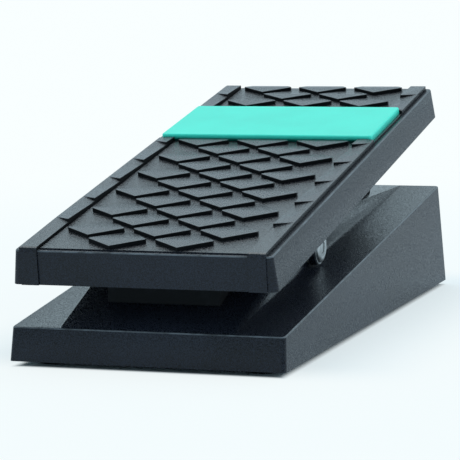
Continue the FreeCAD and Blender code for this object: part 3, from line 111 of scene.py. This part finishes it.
class Graph:
    """A node tree with one way to make its nodes."""

    def __init__(self, tree):
        self.tree = tree

    def put(self, socket, value):
        if isinstance(value, Signal):
            self.tree.links.new(value.socket, socket)
        else:
            socket.default_value = value

    def node(self, kind, settings=None, values=None, output=0):
        made = self.tree.nodes.new(kind)
        for name, value in (settings or {}).items():
            setattr(made, name, value)
        for key, value in (values or {}).items():
            self.put(made.inputs[key], value)
        return Signal(self, made.outputs[output])

    def axis(self, vector, name):
        return self.node("ShaderNodeSeparateXYZ", {}, {"Vector": vector}, name)

    def band(self, value, low, high):
        """Runs from 0 to 1 as the value goes from low to high."""
        settings = {"interpolation_type": "SMOOTHSTEP"}
        return self.node("ShaderNodeMapRange", settings, {"Value": value, "From Min": low, "From Max": high})

    def ray(self, *names):
        """1 for the kinds of ray that are named."""
        kinds = [self.node("ShaderNodeLightPath", output=f"Is {name} Ray") for name in names]
        return sum(kinds[1:], kinds[0]).clamped()


class Finish(Graph):
    """A surface finish: one material."""

    def __init__(self, name, colour, roughness, metallic=0.0, gloss=0.5):
        self.material = bpy.data.materials.new(name)
        self.material.use_nodes = True
        super().__init__(self.material.node_tree)
        self.shader = next(n for n in self.tree.nodes if n.type == "BSDF_PRINCIPLED")
        self.colour = (*colour, 1.0)
        self.put(self.shader.inputs["Base Color"], self.colour)
        self.put(self.shader.inputs["Roughness"], roughness)
        self.put(self.shader.inputs["Metallic"], metallic)
        self.put(self.shader.inputs["Specular IOR Level"], gloss)
        self.here = self.node("ShaderNodeTexCoord", output="Object")

    def noise(self, scale, detail=2.0, roughness=0.5, where=None):
        values = {"Vector": where or self.here, "Scale": scale, "Detail": detail, "Roughness": roughness}
        return self.node("ShaderNodeTexNoise", {}, values)

    def cells(self, scale, where=None, feature="F1", output="Distance"):
        values = {"Vector": where or self.here, "Scale": scale}
        return self.node("ShaderNodeTexVoronoi", {"feature": feature}, values, output)

    def placed(self, centre=(0, 0, 0), turn=(0, 0, 0), stretch=(1, 1, 1)):
        """Object coordinates moved and turned to a piece's own frame."""
        moved = self.node("ShaderNodeVectorMath", {"operation": "SUBTRACT"}, {0: self.here, 1: centre})
        values = {"Vector": moved, "Rotation": turn, "Scale": stretch}
        return self.node("ShaderNodeMapping", {"vector_type": "POINT"}, values)

    def mix(self, share, low, high):
        return self.node("ShaderNodeMix", {"data_type": "RGBA"}, {0: share, 6: low, 7: high}, 2)

    def shade(self, share, darker=1.0, lighter=1.0):
        """Base colour between two tones of the finish."""
        low = tuple(min(1.0, c * darker) for c in self.colour[:3]) + (1.0,)
        high = tuple(min(1.0, c * lighter) for c in self.colour[:3]) + (1.0,)
        self.put(self.shader.inputs["Base Color"], self.mix(share, low, high))

    def roughness(self, value):
        self.put(self.shader.inputs["Roughness"], value)

    def relief(self, height, distance, strength=1.0):
        values = {"Height": height, "Distance": distance, "Strength": strength}
        bump = self.node("ShaderNodeBump", {}, values)
        self.put(self.shader.inputs["Normal"], bump)


# ---------------------------------------------------------------- finishes

def grained(finish, tone, share, depth):
    """A tight pebble grain that shows best at a glancing angle."""
    pebbles = finish.noise(1250.0, 1.0, 0.5)
    dust = finish.noise(2200.0, 2.0, 0.6)
    specks = finish.band(dust, 0.42, 0.60)
    finish.shade(finish.band(dust * share + tone * (1.0 - share), 0.36, 0.64), 0.4, 2.2)
    finish.roughness(0.16 + specks * 0.30)
    finish.relief(pebbles + dust * 0.35, depth, 1.0)
    return finish.material


def powder_coat():
    """Fine textured coat on the castings, with soft mottling."""
    coat = Finish("powder_coat", (0.0080, 0.0100, 0.0160), 0.35, gloss=0.38)
    return grained(coat, coat.noise(28.0, 2.0, 0.5), 0.8, 0.0001)


def edge_highlight_coat():
    """The same coat on the upper rounded edges: smoother, and painted paler there as a highlight along the
    edges.
    """
    highlight = Finish("edge_highlight_coat", (0.075, 0.085, 0.098), 0.3, gloss=0.5)
    highlight_mottle = highlight.noise(160.0, 3.0, 0.6)
    highlight.shade(highlight.band(highlight_mottle, 0.3, 0.7), 0.45, 1.7)
    highlight.roughness(0.22 + highlight_mottle * 0.2)
    highlight.relief(highlight.noise(1250.0, 2.0, 0.5), 0.00006, 1.0)
    return highlight.material


def moulded_tread():
    """Grained rubbery plastic of the tread, painted paler on its highest corners as a highlight along their
    edges.
    """
    tread = Finish("moulded_tread", (0.0080, 0.0095, 0.0145), 0.35, gloss=1.0)
    deck = tread.placed(tuple(PIVOT), (-REST_TILT, 0, 0))
    highlight = tread.band(tread.axis(deck, "Z"), HIGHLIGHT_FROM, HIGHLIGHT_TO)
    return grained(tread, highlight, 0.85, 0.0002)


def risers_in_painted_shade():
    """Smoother plastic on the short upright faces between the grained tops, painted near black as shade."""
    riser = Finish("risers_in_painted_shade", (0.0045, 0.0050, 0.0065), 0.6, gloss=0.15)
    grain = riser.noise(1800.0, 2.0, 0.5)
    riser.shade(grain, 0.7, 1.3)
    riser.relief(grain, 0.00006, 0.6)
    return riser.material


def badge_plastic():
    """Smooth satin pad with a faint grain."""
    mint = Finish("badge_plastic", (0.050, 0.92, 0.70), 0.42)
    grain = mint.noise(1500.0, 2.0, 0.5)
    broad = mint.noise(60.0, 2.0, 0.5)
    mint.shade(mint.band(grain * 0.4 + broad * 0.6, 0.3, 0.7), 0.95, 1.03)
    mint.roughness(0.38 + grain * 0.12)
    mint.relief(grain, 0.00003, 0.5)
    return mint.material


def sheet_paint():
    """Semi-gloss paint on the bottom plate, with orange peel and hair scratches."""
    paint = Finish("sheet_paint", (0.045, 0.050, 0.055), 0.38)
    peel = paint.noise(700.0, 2.0, 0.5)
    long_lines = paint.placed(stretch=(900.0, 14.0, 900.0))
    scratch = paint.noise(1.0, 3.0, 0.7, long_lines)
    marks = paint.band(scratch, 0.68, 0.74)
    paint.shade(marks * 0.6 + peel * 0.3, 0.85, 2.2)
    paint.roughness(0.32 + peel * 0.14 + marks * 0.15)
    paint.relief(peel - marks * 0.6, 0.00004, 0.7)
    return paint.material


def moulded_rubber():
    """Matt black rubber with a dusting on it."""
    rubber = Finish("moulded_rubber", (0.011, 0.012, 0.014), 0.8, gloss=0.3)
    grain = rubber.noise(1800.0, 3.0, 0.6)
    dust = rubber.noise(120.0, 4.0, 0.65)
    rubber.shade(rubber.band(dust, 0.5, 0.75), 0.8, 1.7)
    rubber.roughness(0.72 + grain * 0.2)
    rubber.relief(grain, 0.00008, 0.7)
    return rubber.material


def plain_nylon(name, colour):
    nylon = Finish(name, colour, 0.45)
    cloud = nylon.noise(140.0, 3.0, 0.55)
    grain = nylon.noise(1600.0, 2.0, 0.5)
    nylon.shade(nylon.band(cloud, 0.3, 0.7), 0.9, 1.05)
    nylon.roughness(0.38 + grain * 0.18)
    nylon.relief(grain, 0.00003, 0.5)
    return nylon.material


def zinc_plate():
    """Bright zinc with a faint spangle and small handling marks."""
    zinc = Finish("zinc_plate", (0.76, 0.79, 0.80), 0.4, 1.0)
    spangle = zinc.cells(900.0, output="Color")
    cloud = zinc.noise(220.0, 3.0, 0.6)
    shade = zinc.axis(spangle, "X")
    zinc.shade(shade * 0.4 + cloud * 0.6, 0.72, 1.18)
    zinc.roughness(0.3 + cloud * 0.24 + shade * 0.1)
    zinc.relief(cloud, 0.00003, 0.6)
    return zinc.material


def ground_steel(name, colour, along):
    """Steel with fine lines round its axis: along names the axis that the tool travelled."""
    steel = Finish(name, colour, 0.25, 1.0)
    stretch = [60.0, 60.0, 60.0]
    stretch["XYZ".index(along)] = 5200.0
    lines = steel.noise(1.0, 3.0, 0.65, steel.placed(stretch=tuple(stretch)))
    steel.shade(steel.band(lines, 0.3, 0.7), 0.78, 1.1)
    steel.roughness(0.18 + lines * 0.24)
    steel.relief(lines, 0.00002, 0.7)
    return steel.material


def turned_brass():
    brass = Finish("turned_brass", (0.70, 0.53, 0.26), 0.28, 1.0)
    lines = brass.noise(1.0, 3.0, 0.6, brass.placed(stretch=(3000.0, 90.0, 90.0)))
    stain = brass.noise(260.0, 3.0, 0.6)
    brass.shade(lines * 0.4 + stain * 0.6, 0.72, 1.15)
    brass.roughness(0.2 + stain * 0.25)
    brass.relief(lines, 0.00002, 0.6)
    return brass.material


def pressed_can():
    can = Finish("pressed_can", (0.60, 0.61, 0.62), 0.35, 1.0)
    cloud = can.noise(180.0, 3.0, 0.6)
    can.shade(can.band(cloud, 0.3, 0.7), 0.8, 1.1)
    can.roughness(0.28 + cloud * 0.24)
    can.relief(cloud, 0.00004, 0.5)
    return can.material


def glossy_plastic(name, colour):
    plastic = Finish(name, colour, 0.25)
    flow = plastic.noise(90.0, 3.0, 0.5)
    grain = plastic.noise(2200.0, 2.0, 0.5)
    plastic.shade(plastic.band(flow, 0.3, 0.7), 0.85, 1.2)
    plastic.roughness(0.2 + grain * 0.16)
    plastic.relief(grain, 0.00002, 0.4)
    return plastic.material


def solder_mask():
    """Green mask over a grid of tracks and tinned pads."""
    board = Finish("solder_mask", (0.030, 0.125, 0.060), 0.3)
    grid = board.placed(stretch=(420.0, 420.0, 1.0))
    tracks = board.cells(1.0, grid, "DISTANCE_TO_EDGE")
    copper = board.band(tracks, 0.10, 0.06)
    board.shade(copper, 0.85, 1.7)
    board.roughness(0.3 + copper * 0.1)
    board.relief(copper, 0.00004, 0.6)
    return board.material


def component_sleeves():
    """Dark, slightly mottled sleeves and cases."""
    parts = Finish("component_sleeves", (0.030, 0.032, 0.045), 0.35)
    mottled = parts.noise(500.0, 2.0, 0.5)
    parts.shade(mottled, 0.8, 1.5)
    parts.roughness(0.25 + mottled * 0.2)
    return parts.material


COATING = powder_coat()
# The coat painted paler on the castings' upper rounded edges, as a highlight
COAT_EDGE_HIGHLIGHT = edge_highlight_coat()
TREAD = moulded_tread()
# Smoother finish on the tread's upright faces, painted near black as shade
RISER_PAINTED_SHADE = risers_in_painted_shade()
MINT = badge_plastic()
PLATE_PAINT = sheet_paint()
RUBBER = moulded_rubber()
BEARING = plain_nylon("bearing_nylon", (0.66, 0.63, 0.55))
GEAR = plain_nylon("gear_nylon", (0.74, 0.72, 0.63))
ZINC = zinc_plate()
AXLE_STEEL = ground_steel("axle_steel", (0.58, 0.59, 0.61), "X")
STRIP_STEEL = ground_steel("strip_steel", (0.52, 0.53, 0.55), "Y")
CHROME = ground_steel("button_chrome", (0.72, 0.73, 0.75), "Z")
BRASS = turned_brass()
CAN = pressed_can()
SWITCH_BLUE = glossy_plastic("switch_blue", (0.035, 0.085, 0.30))
SOCKET_BLACK = glossy_plastic("socket_black", (0.018, 0.018, 0.020))
MASK_GREEN = solder_mask()
SLEEVES = component_sleeves()

FINISHES = {
    "base_shell": COATING, "treadle": COATING, "bottom_plate": PLATE_PAINT, "bottom_screws": ZINC,
    "rubber_feet": RUBBER, "pivot_bushings": BEARING, "pivot_axle": AXLE_STEEL, "axle_washers": ZINC,
    "axle_caps": ZINC, "tread_field": TREAD, "left_rail": TREAD, "right_rail": TREAD, "badge_pad": MINT,
    "striker_pad": RUBBER, "sector_gear": GEAR, "sector_screws": ZINC, "pinion_gear": BRASS,
    "potentiometer": CAN, "pot_shaft": AXLE_STEEL, "pot_nut": ZINC, "pot_bracket": STRIP_STEEL,
    "bracket_screws": ZINC, "toe_switch": SWITCH_BLUE, "switch_button": CHROME, "switch_washer": ZINC,
    "switch_nut": ZINC, "toe_stops": RUBBER, "heel_stop": RUBBER, "input_jack": SOCKET_BLACK,
    "output_jack": SOCKET_BLACK, "jack_washers": ZINC, "jack_nuts": ZINC, "power_jack": SOCKET_BLACK,
    "power_jack_nut": SOCKET_BLACK, "circuit_board": MASK_GREEN, "board_standoffs": BRASS,
    "board_screws": ZINC, "board_components": SLEEVES,
}


def coloured(piece, *finishes):
    """Gives a piece its finishes; the first is on every face until a face is given another."""
    piece.data.materials.clear()
    for finish in finishes:
        piece.data.materials.append(finish)


for node_name, node_finish in FINISHES.items():
    coloured(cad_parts[node_name], node_finish)


# ---------------------------------------------------------------- castings and mouldings

def copied(node, *more_finishes):
    """A copy of a node's mesh with its loose triangles joined, ready to be worked on."""
    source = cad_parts[node]
    piece = bpy.data.objects.new(node + "_detail", source.data.copy())
    coloured(piece, FINISHES[node], *more_finishes)
    bpy.context.scene.collection.objects.link(piece)
    bpy.context.view_layer.objects.active = piece
    piece.select_set(True)
    bpy.ops.object.mode_set(mode="EDIT")
    bpy.ops.mesh.select_all(action="SELECT")
    bpy.ops.mesh.remove_doubles(threshold=0.000002)
    bpy.ops.mesh.select_all(action="DESELECT")
    bpy.ops.object.mode_set(mode="OBJECT")
    return piece


def fitted(piece, body, *nodes):
    """Hangs a finished piece on its body, in the place of its nodes."""
    piece.select_set(False)
    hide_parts(*nodes)
    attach(piece, body)


def bevel_where(piece, chosen, width, segments):
    """Bevels the edges for which the test on the edge and its two face normals holds."""
    bpy.ops.object.mode_set(mode="EDIT")
    bpy.ops.mesh.select_all(action="SELECT")
    bpy.ops.mesh.dissolve_limited(angle_limit=math.radians(0.6))
    bpy.ops.mesh.select_all(action="DESELECT")
    bpy.ops.mesh.select_mode(type="EDGE")
    mesh = bmesh.from_edit_mesh(piece.data)
    for edge in mesh.edges:
        faces = edge.link_faces
        edge.select = len(faces) == 2 and chosen(edge, faces[0].normal, faces[1].normal)
    mesh.select_flush_mode()
    bmesh.update_edit_mesh(piece.data)
    bpy.ops.mesh.bevel(offset=width, segments=segments, profile=0.6, affect="EDGES", clamp_overlap=True)
    bpy.ops.mesh.select_all(action="DESELECT")
    bpy.ops.object.mode_set(mode="OBJECT")


SAME_LEVEL = 0.00005
SAME_POINT = 0.00002


def straightened_edge(piece):
    """Brings the low corners on a rail's outer edge up to the line of its shingles' shoulders."""
    bpy.ops.object.mode_set(mode="EDIT")
    bpy.ops.mesh.select_mode(type="VERT")
    mesh = bmesh.from_edit_mesh(piece.data)
    for corner in mesh.verts:
        level = (corner.co - PIVOT).dot(DECK_UP)
        outer = abs(corner.co.x) > RAIL_OUTER and corner.co.y > HEEL_LINE + 0.002
        corner.select = outer and abs(level - RAIL_TOP) < SAME_LEVEL
    mesh.select_flush_mode()
    bmesh.update_edit_mesh(piece.data)
    bpy.ops.transform.translate(value=DECK_UP * (RAIL_SHOULDER - RAIL_TOP))
    bpy.ops.mesh.select_all(action="SELECT")
    bpy.ops.mesh.remove_doubles(threshold=SAME_POINT)
    bpy.ops.mesh.select_all(action="DESELECT")
    bpy.ops.object.mode_set(mode="OBJECT")


TREAD_ROUND = 0.00012
TREAD_SHORT_EDGE = 0.0008


def softened_tread(node):
    """Tread with rounded upper edges, smooth upright faces painted black as shade, and a coated end over the
    heel.
    """
    piece = copied(node, RISER_PAINTED_SHADE, COATING)
    if node != "tread_field":
        straightened_edge(piece)

    def upper(edge, one, other):
        low, high = sorted((one.dot(DECK_UP), other.dot(DECK_UP)))
        return high > 0.9 and abs(low) < 0.5 and edge.calc_length() > TREAD_SHORT_EDGE

    bevel_where(piece, upper, TREAD_ROUND, segments=2)
    # Upright faces over the heel take the coat; the other upright faces, apart from the rails' outer sides,
    # take the riser finish painted dark as shade
    for face in piece.data.polygons:
        upright = abs(face.normal.dot(DECK_UP)) < 0.45
        outer_side = abs(face.normal.x) > 0.7 and face.normal.x * face.center.x > 0
        if upright and face.center.y < HEEL_LINE:
            face.material_index = 2
        elif upright and not outer_side:
            face.material_index = 1
    fitted(piece, "rocker", node)


def smooth_casting(node, body, up, angle, *on_rounds):
    """A copy with smooth rounds between flat broad faces; the upper rounds may have a finish of their own,
    such as the castings' painted edge highlight.
    """
    piece = copied(node, *on_rounds)
    bpy.ops.object.shade_smooth_by_angle(angle=math.radians(angle))
    for face in piece.data.polygons:
        # Faces on the upper rounds take the last finish given, which on the castings paints a highlight along
        # the edges
        if 0.2 < face.normal.dot(up) < 0.92:
            face.material_index = len(on_rounds)
    even = piece.modifiers.new("even_normals", "WEIGHTED_NORMAL")
    even.keep_sharp = True
    even.weight = 100
    bpy.ops.object.modifier_apply(modifier=even.name)
    fitted(piece, body, node)


for tread_piece in ("tread_field", "left_rail", "right_rail"):
    softened_tread(tread_piece)
# The castings' upper rounded edges are painted paler, as a highlight
smooth_casting("base_shell", "base", WORLD_UP, 40, COAT_EDGE_HIGHLIGHT)
smooth_casting("treadle", "rocker", DECK_UP, 40, COAT_EDGE_HIGHLIGHT)
smooth_casting("badge_pad", "rocker", DECK_UP, 50)

BLOCK_SHORT_EDGE = 0.008


def eased_block(node, body, width, zinc_above=None):
    """A moulded or folded piece with its long sharp edges eased; what is above a given level is zinc."""
    more_finishes = [ZINC] if zinc_above else []
    piece = copied(node, *more_finishes)

    def sharp(edge, one, other):
        return one.angle(other) > math.radians(50) and edge.calc_length() > BLOCK_SHORT_EDGE

    bevel_where(piece, sharp, width, segments=3)
    bpy.ops.object.shade_smooth_by_angle(angle=math.radians(40))
    if zinc_above:
        for face in piece.data.polygons:
            if face.center.z > zinc_above:
                face.material_index = 1
    fitted(piece, body, node)


eased_block("heel_stop", "base", width=0.0007)
eased_block("bottom_plate", "base", width=0.0003)
eased_block("toe_switch", "base", width=0.0004, zinc_above=SWITCH_CASE_TOP)


# ---------------------------------------------------------------- small hardware

def built_up(name, steps, sides=48):
    """A piece about Z made from a disc whose end is moved on and resized: steps of (level, radius)."""
    level, radius = steps[0]
    start = (0, 0, level)
    bpy.ops.mesh.primitive_circle_add(vertices=sides, radius=radius, fill_type="NGON", location=start)
    piece = bpy.context.object
    piece.name = name
    bpy.ops.object.transform_apply(location=True, rotation=True, scale=True)
    bpy.ops.object.mode_set(mode="EDIT")
    bpy.ops.mesh.select_all(action="SELECT")
    for next_level, next_radius in steps[1:]:
        bpy.ops.mesh.extrude_region_move(TRANSFORM_OT_translate={"value": (0, 0, next_level - level)})
        share = next_radius / radius
        bpy.ops.transform.resize(value=(share, share, 1.0), center_override=(0, 0, next_level))
        level, radius = next_level, next_radius
    bpy.ops.mesh.select_all(action="SELECT")
    bpy.ops.mesh.normals_make_consistent(inside=False)
    bpy.ops.mesh.select_all(action="DESELECT")
    bpy.ops.object.mode_set(mode="OBJECT")
    return piece


def carved(piece, tool, operation):
    """Cuts a piece with a tool, or keeps only what they share; the tool is used up."""
    carving = piece.modifiers.new("carving", "BOOLEAN")
    carving.object = tool
    carving.operation = operation
    carving.solver = "EXACT"
    bpy.ops.object.select_all(action="DESELECT")
    bpy.context.view_layer.objects.active = piece
    piece.select_set(True)
    bpy.ops.object.modifier_apply(modifier=carving.name)
    bpy.data.objects.remove(tool)


def set_out(pattern, places, body, finish, *nodes):
    """Copies of a pattern, each with its own mesh, turned and moved to their places."""
    bpy.ops.object.select_all(action="DESELECT")
    for count, place in enumerate(places, 1):
        piece = bpy.data.objects.new(f"{pattern.name}_{count}", pattern.data.copy())
        bpy.context.scene.collection.objects.link(piece)
        piece.matrix_world = place
        bpy.context.view_layer.objects.active = piece
        piece.select_set(True)
        bpy.ops.object.transform_apply(location=True, rotation=True, scale=True)
        bpy.ops.object.shade_smooth_by_angle(angle=math.radians(35))
        coloured(piece, finish)
        piece.select_set(False)
        if nodes:
            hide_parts(*nodes)
        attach(piece, body)
    bpy.data.objects.remove(pattern)


def stand(x, y, z, turn=0.0, lean=0.0, axis="X"):
    """A place on the part: spun about its own axis, leant about X or Y, then moved."""
    return Matrix.Translation((x, y, z)) @ Matrix.Rotation(lean, 4, axis) @ Matrix.Rotation(turn, 4, "Z")


def cross_screw(name, head_radius, head_height, radius, length):
    """A pan-headed screw that points up from its head, with a cross recess under it."""
    screw = built_up(name, [
        (length, radius * 0.6), (length - 0.0007, radius), (0.0, radius), (0.0, head_radius),
        (-head_height * 0.5, head_radius), (-head_height * 0.82, head_radius * 0.86),
        (-head_height, head_radius * 0.6)], 40)
    for across, along in ((0.55, 0.16), (0.16, 0.55)):
        size = (head_radius * 2 * across, head_radius * 2 * along, head_height * 1.3)
        bpy.ops.mesh.primitive_cube_add(size=1.0, location=(0, 0, -head_height), scale=size)
        carved(screw, bpy.context.object, "DIFFERENCE")
    return screw


def hex_nut(name, flats, base, height, bore):
    """A nut with its outer corners turned off at a slant and its thread's mouth countersunk."""
    corner = flats / math.sqrt(3)
    top = base + height
    nut = built_up(name, [(base, corner), (top, corner)], 6)
    crown = [(base - 0.001, corner * 1.1), (top - height * 0.3, corner * 1.01), (top + 0.0001, flats * 0.47)]
    carved(nut, built_up("crown", crown), "INTERSECT")
    hole = [(base - 0.001, bore), (top - 0.0004, bore), (top + 0.0001, bore + 0.0005)]
    carved(nut, built_up("hole", hole), "DIFFERENCE")
    return nut


def ridges(low, high, pitch, inner, outer):
    """Steps of a thread's ridges between two levels."""
    steps = [(low, inner)]
    count = int((high - low) / pitch)
    for ridge in range(count):
        start = low + ridge * pitch
        steps += [(start + pitch * 0.45, outer), (start + pitch * 0.55, outer), (start + pitch, inner)]
    return steps


BOTH_SIDES = (-1, 1)

SCREW_ACROSS = 0.03985
SCREW_ROWS = (-0.0912170, 0.0027830, 0.0807830)
SCREW_LEVEL = 0.002
screw_places = [stand(side * SCREW_ACROSS, y, SCREW_LEVEL, turn=0.7 * side + 31 * y)
                for side in BOTH_SIDES for y in SCREW_ROWS]
screw = cross_screw("plate_screw", head_radius=0.0027, head_height=0.0013, radius=0.0015, length=0.0075)
set_out(screw, screw_places, "base", ZINC, "bottom_screws")

FOOT_ACROSS = 0.03835
FOOT_ROWS = (-0.1072170, 0.1097830)
foot_places = [stand(side * FOOT_ACROSS, y, 0.0) for side in BOTH_SIDES for y in FOOT_ROWS]
foot_outside = [(0.002, 0.007), (0.0009, 0.007), (0.0003, 0.0067), (0.0, 0.0062)]
foot_hollow = [(0.0, 0.0036), (0.0006, 0.0032), (0.0006, 0.0012), (0.0003, 0.0009)]
foot = built_up("rubber_foot", foot_outside + foot_hollow)
set_out(foot, foot_places, "base", RUBBER, "rubber_feet")

SOCKET_ACROSS = 0.03085
SOCKET_PLACE = (0.120013, 0.028)
WASHER_THICKNESS = 0.0006
WASHER_BORE = 0.00485
toe_face = TOE_LEAN - math.pi / 2
socket_places = [stand(side * SOCKET_ACROSS, *SOCKET_PLACE, lean=toe_face) for side in BOTH_SIDES]
socket_nut = hex_nut("socket_nut", flats=0.013, base=WASHER_THICKNESS, height=0.002, bore=0.0048)
set_out(socket_nut, socket_places, "base", ZINC, "jack_nuts")
washer_rim = [(0.0, 0.0071), (0.0001, 0.0072), (0.0004, 0.0072), (WASHER_THICKNESS, 0.0070)]
washer = built_up("socket_washer", washer_rim)
carved(washer, built_up("hole", [(-0.001, WASHER_BORE), (0.002, WASHER_BORE)]), "DIFFERENCE")
set_out(washer, socket_places, "base", ZINC, "jack_washers")
power_nut = hex_nut("power_nut", flats=0.015, base=0.0, height=0.002, bore=0.00585)
power_place = stand(0.0, *SOCKET_PLACE, lean=toe_face)
set_out(power_nut, [power_place], "base", SOCKET_BLACK, "power_jack_nut")

SWITCH_NUT_HEIGHT = 0.0022
SWITCH_THREAD_END = 0.0041
nut_low, nut_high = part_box("switch_nut")
switch_place = stand((nut_low[0] + nut_high[0]) / 2, (nut_low[1] + nut_high[1]) / 2, nut_low[2])
switch_nut = hex_nut("foot_switch_nut", flats=0.015, base=0.0, height=SWITCH_NUT_HEIGHT, bore=0.00605)
set_out(switch_nut, [switch_place], "base", ZINC, "switch_nut")
thread = ridges(SWITCH_NUT_HEIGHT, SWITCH_THREAD_END, pitch=0.0006, inner=0.00602, outer=0.00618)
set_out(built_up("foot_switch_thread", thread), [switch_place], "base", ZINC)

CAP_SEAT = 0.0360
cap_places = [stand(side * CAP_SEAT, PIVOT.y, PIVOT.z, turn=0.3, lean=side * math.pi / 2, axis="Y")
              for side in BOTH_SIDES]
cap_dome = [(0.0, 0.0059), (0.0005, 0.0059), (0.0008, 0.0057), (0.0011, 0.0050), (0.0012, 0.0042)]
cap_dish = [(0.0011, 0.0039), (0.0011, 0.0034)]
cap_drive = [(0.0006, 0.0027), (0.0010, 0.0027), (0.0013, 0.0029)]
cap = built_up("axle_cap", cap_dome + cap_dish)
carved(cap, built_up("drive", cap_drive, 6), "DIFFERENCE")
set_out(cap, cap_places, "rocker", ZINC, "axle_caps")


# ---------------------------------------------------------------- studio

BACKDROP = (0.945, 0.997, 1.0, 1.0)
SURROUND = (0.70, 0.90, 1.0, 1.0)
MIRRORED_FLOOR = (0.42, 0.45, 0.48, 1.0)
FLOOR_PAINT = (0.80, 0.92, 0.97)

# The floor's glow near the object, how much of it is taken off beside the base as a painted shadow, and its
# share in mirrored rays
GLOW_NEAR = 0.88
SIDE_SHADOW_STRENGTH = 0.3
GLOW_MIRRORED = 0.6
BASE_HALF_WIDTH = 0.0508
BASE_HALF_LENGTH = 0.1225
BASE_MIDDLE = 0.0013

# Levels of the surroundings: mirrored from in front, taken off on the right, and for all other light
FRONT_LEVEL = 0.40
RIGHT_TAKEN = 0.4
FILL_LEVEL = 0.75

LIT_POINT = (0, 0, 0.05)


def floor():
    """Pale paint that takes the object's shadow, with a painted soft shadow beside the base, and runs into
    the backdrop further out.
    """
    paint = Finish("floor_paint", FLOOR_PAINT, 0.9)
    shown = paint.mix(paint.ray("Camera"), MIRRORED_FLOOR, BACKDROP)
    glow = paint.node("ShaderNodeEmission", {}, {"Color": shown, "Strength": 1.0})

    # The glow stops under the base, is weaker beside it as a painted soft shadow, and is whole far away
    from_middle = paint.node("ShaderNodeVectorMath", {"operation": "LENGTH"}, {0: paint.here}, "Value")
    along = paint.axis(paint.here, "Y")
    past_sides = paint.axis(paint.here, "X").size() - BASE_HALF_WIDTH
    past_ends = (along - BASE_MIDDLE).size() - BASE_HALF_LENGTH
    outside = past_sides.or_more(past_ends)
    clear = paint.band(outside, -0.004, 0.0005)
    side_shadow = (1.0 - paint.band(outside, 0.0, 0.05)) * paint.band(along, -0.13, -0.09)
    far = paint.band(from_middle, 0.2, 0.7)
    glow_level = clear * (GLOW_NEAR + far * (1.0 - GLOW_NEAR) - side_shadow * SIDE_SHADOW_STRENGTH)

    seen = paint.ray("Camera") + paint.ray("Glossy", "Transmission") * GLOW_MIRRORED
    share = glow_level * seen.clamped()
    both = paint.node("ShaderNodeMixShader", {}, {0: share, 2: glow})
    paint.tree.links.new(paint.shader.outputs[0], both.socket.node.inputs[1])
    surface = next(n for n in paint.tree.nodes if n.type == "OUTPUT_MATERIAL")
    paint.tree.links.new(both.socket, surface.inputs["Surface"])

    bpy.ops.mesh.primitive_plane_add(size=12.0, location=(0, 0, 0))
    ground = bpy.context.object
    ground.name = "floor"
    ground.data.materials.append(paint.material)
    bpy.ops.object.select_all(action="DESELECT")


def soft_box(name, place, size, level):
    """A square lamp whose light reaches the object at a level of the plain white one."""
    lamp = bpy.data.lights.new(name, "AREA")
    lamp.shape = "SQUARE"
    lamp.size = size
    away = Vector(place) - Vector(LIT_POINT)
    lamp.energy = level * math.pi ** 2 * away.length ** 2
    holder = bpy.data.objects.new(name, lamp)
    holder.location = place
    holder.rotation_euler = away.to_track_quat("Z", "Y").to_euler()
    bpy.context.scene.collection.objects.link(holder)


def surroundings():
    """White behind the object and dimmer in front of it, with a little light of its own all round."""
    world = bpy.data.worlds.new("studio")
    world.use_nodes = True
    bpy.context.scene.world = world
    room = Graph(world.node_tree)
    direction = room.node("ShaderNodeTexCoord", output="Generated")
    behind = room.band(room.axis(direction, "Y"), -0.6, 0.2)
    to_right = room.band(room.axis(direction, "X"), 0.1, 0.8)
    seen = room.ray("Camera")
    mirrored = room.ray("Glossy", "Transmission")
    mirrored_level = (FRONT_LEVEL + behind * (1.0 - FRONT_LEVEL)) * (1.0 - to_right * RIGHT_TAKEN)
    level = seen + mirrored * mirrored_level + (1.0 - seen - mirrored) * FILL_LEVEL
    background = next(n for n in room.tree.nodes if n.type == "BACKGROUND")
    room.put(background.inputs["Strength"], level)
    settings = {"data_type": "RGBA"}
    colour = room.node("ShaderNodeMix", settings, {0: seen, 6: SURROUND, 7: BACKDROP}, 2)
    room.put(background.inputs["Color"], colour)


CAMERA_PLACE = (0.27208, -0.85070, 0.13653)
CAMERA_YAW = math.radians(18.24)
CAMERA_PITCH = math.radians(6.40)
CAMERA_ROLL = math.radians(-0.70)
LENS_LENGTH = 178.57
SENSOR_WIDTH = 36.0


def camera():
    lens = bpy.data.cameras.new("camera")
    lens.sensor_width = SENSOR_WIDTH
    lens.lens = LENS_LENGTH
    lens.clip_end = 20.0
    tripod = bpy.data.objects.new("camera", lens)
    yaw = Matrix.Rotation(CAMERA_YAW, 4, "Z")
    pitch = Matrix.Rotation(math.pi / 2 - CAMERA_PITCH, 4, "X")
    roll = Matrix.Rotation(CAMERA_ROLL, 4, "Z")
    tripod.matrix_world = Matrix.Translation(CAMERA_PLACE) @ yaw @ pitch @ roll
    bpy.context.scene.collection.objects.link(tripod)
    bpy.context.scene.camera = tripod


floor()
surroundings()
soft_box("top_light", place=(-0.1, 0.5, 1.5), size=1.4, level=0.3)
soft_box("right_light", place=(1.5, 0.4, 0.9), size=1.0, level=0.08)
camera()
bpy.context.scene.view_settings.view_transform = "Standard"
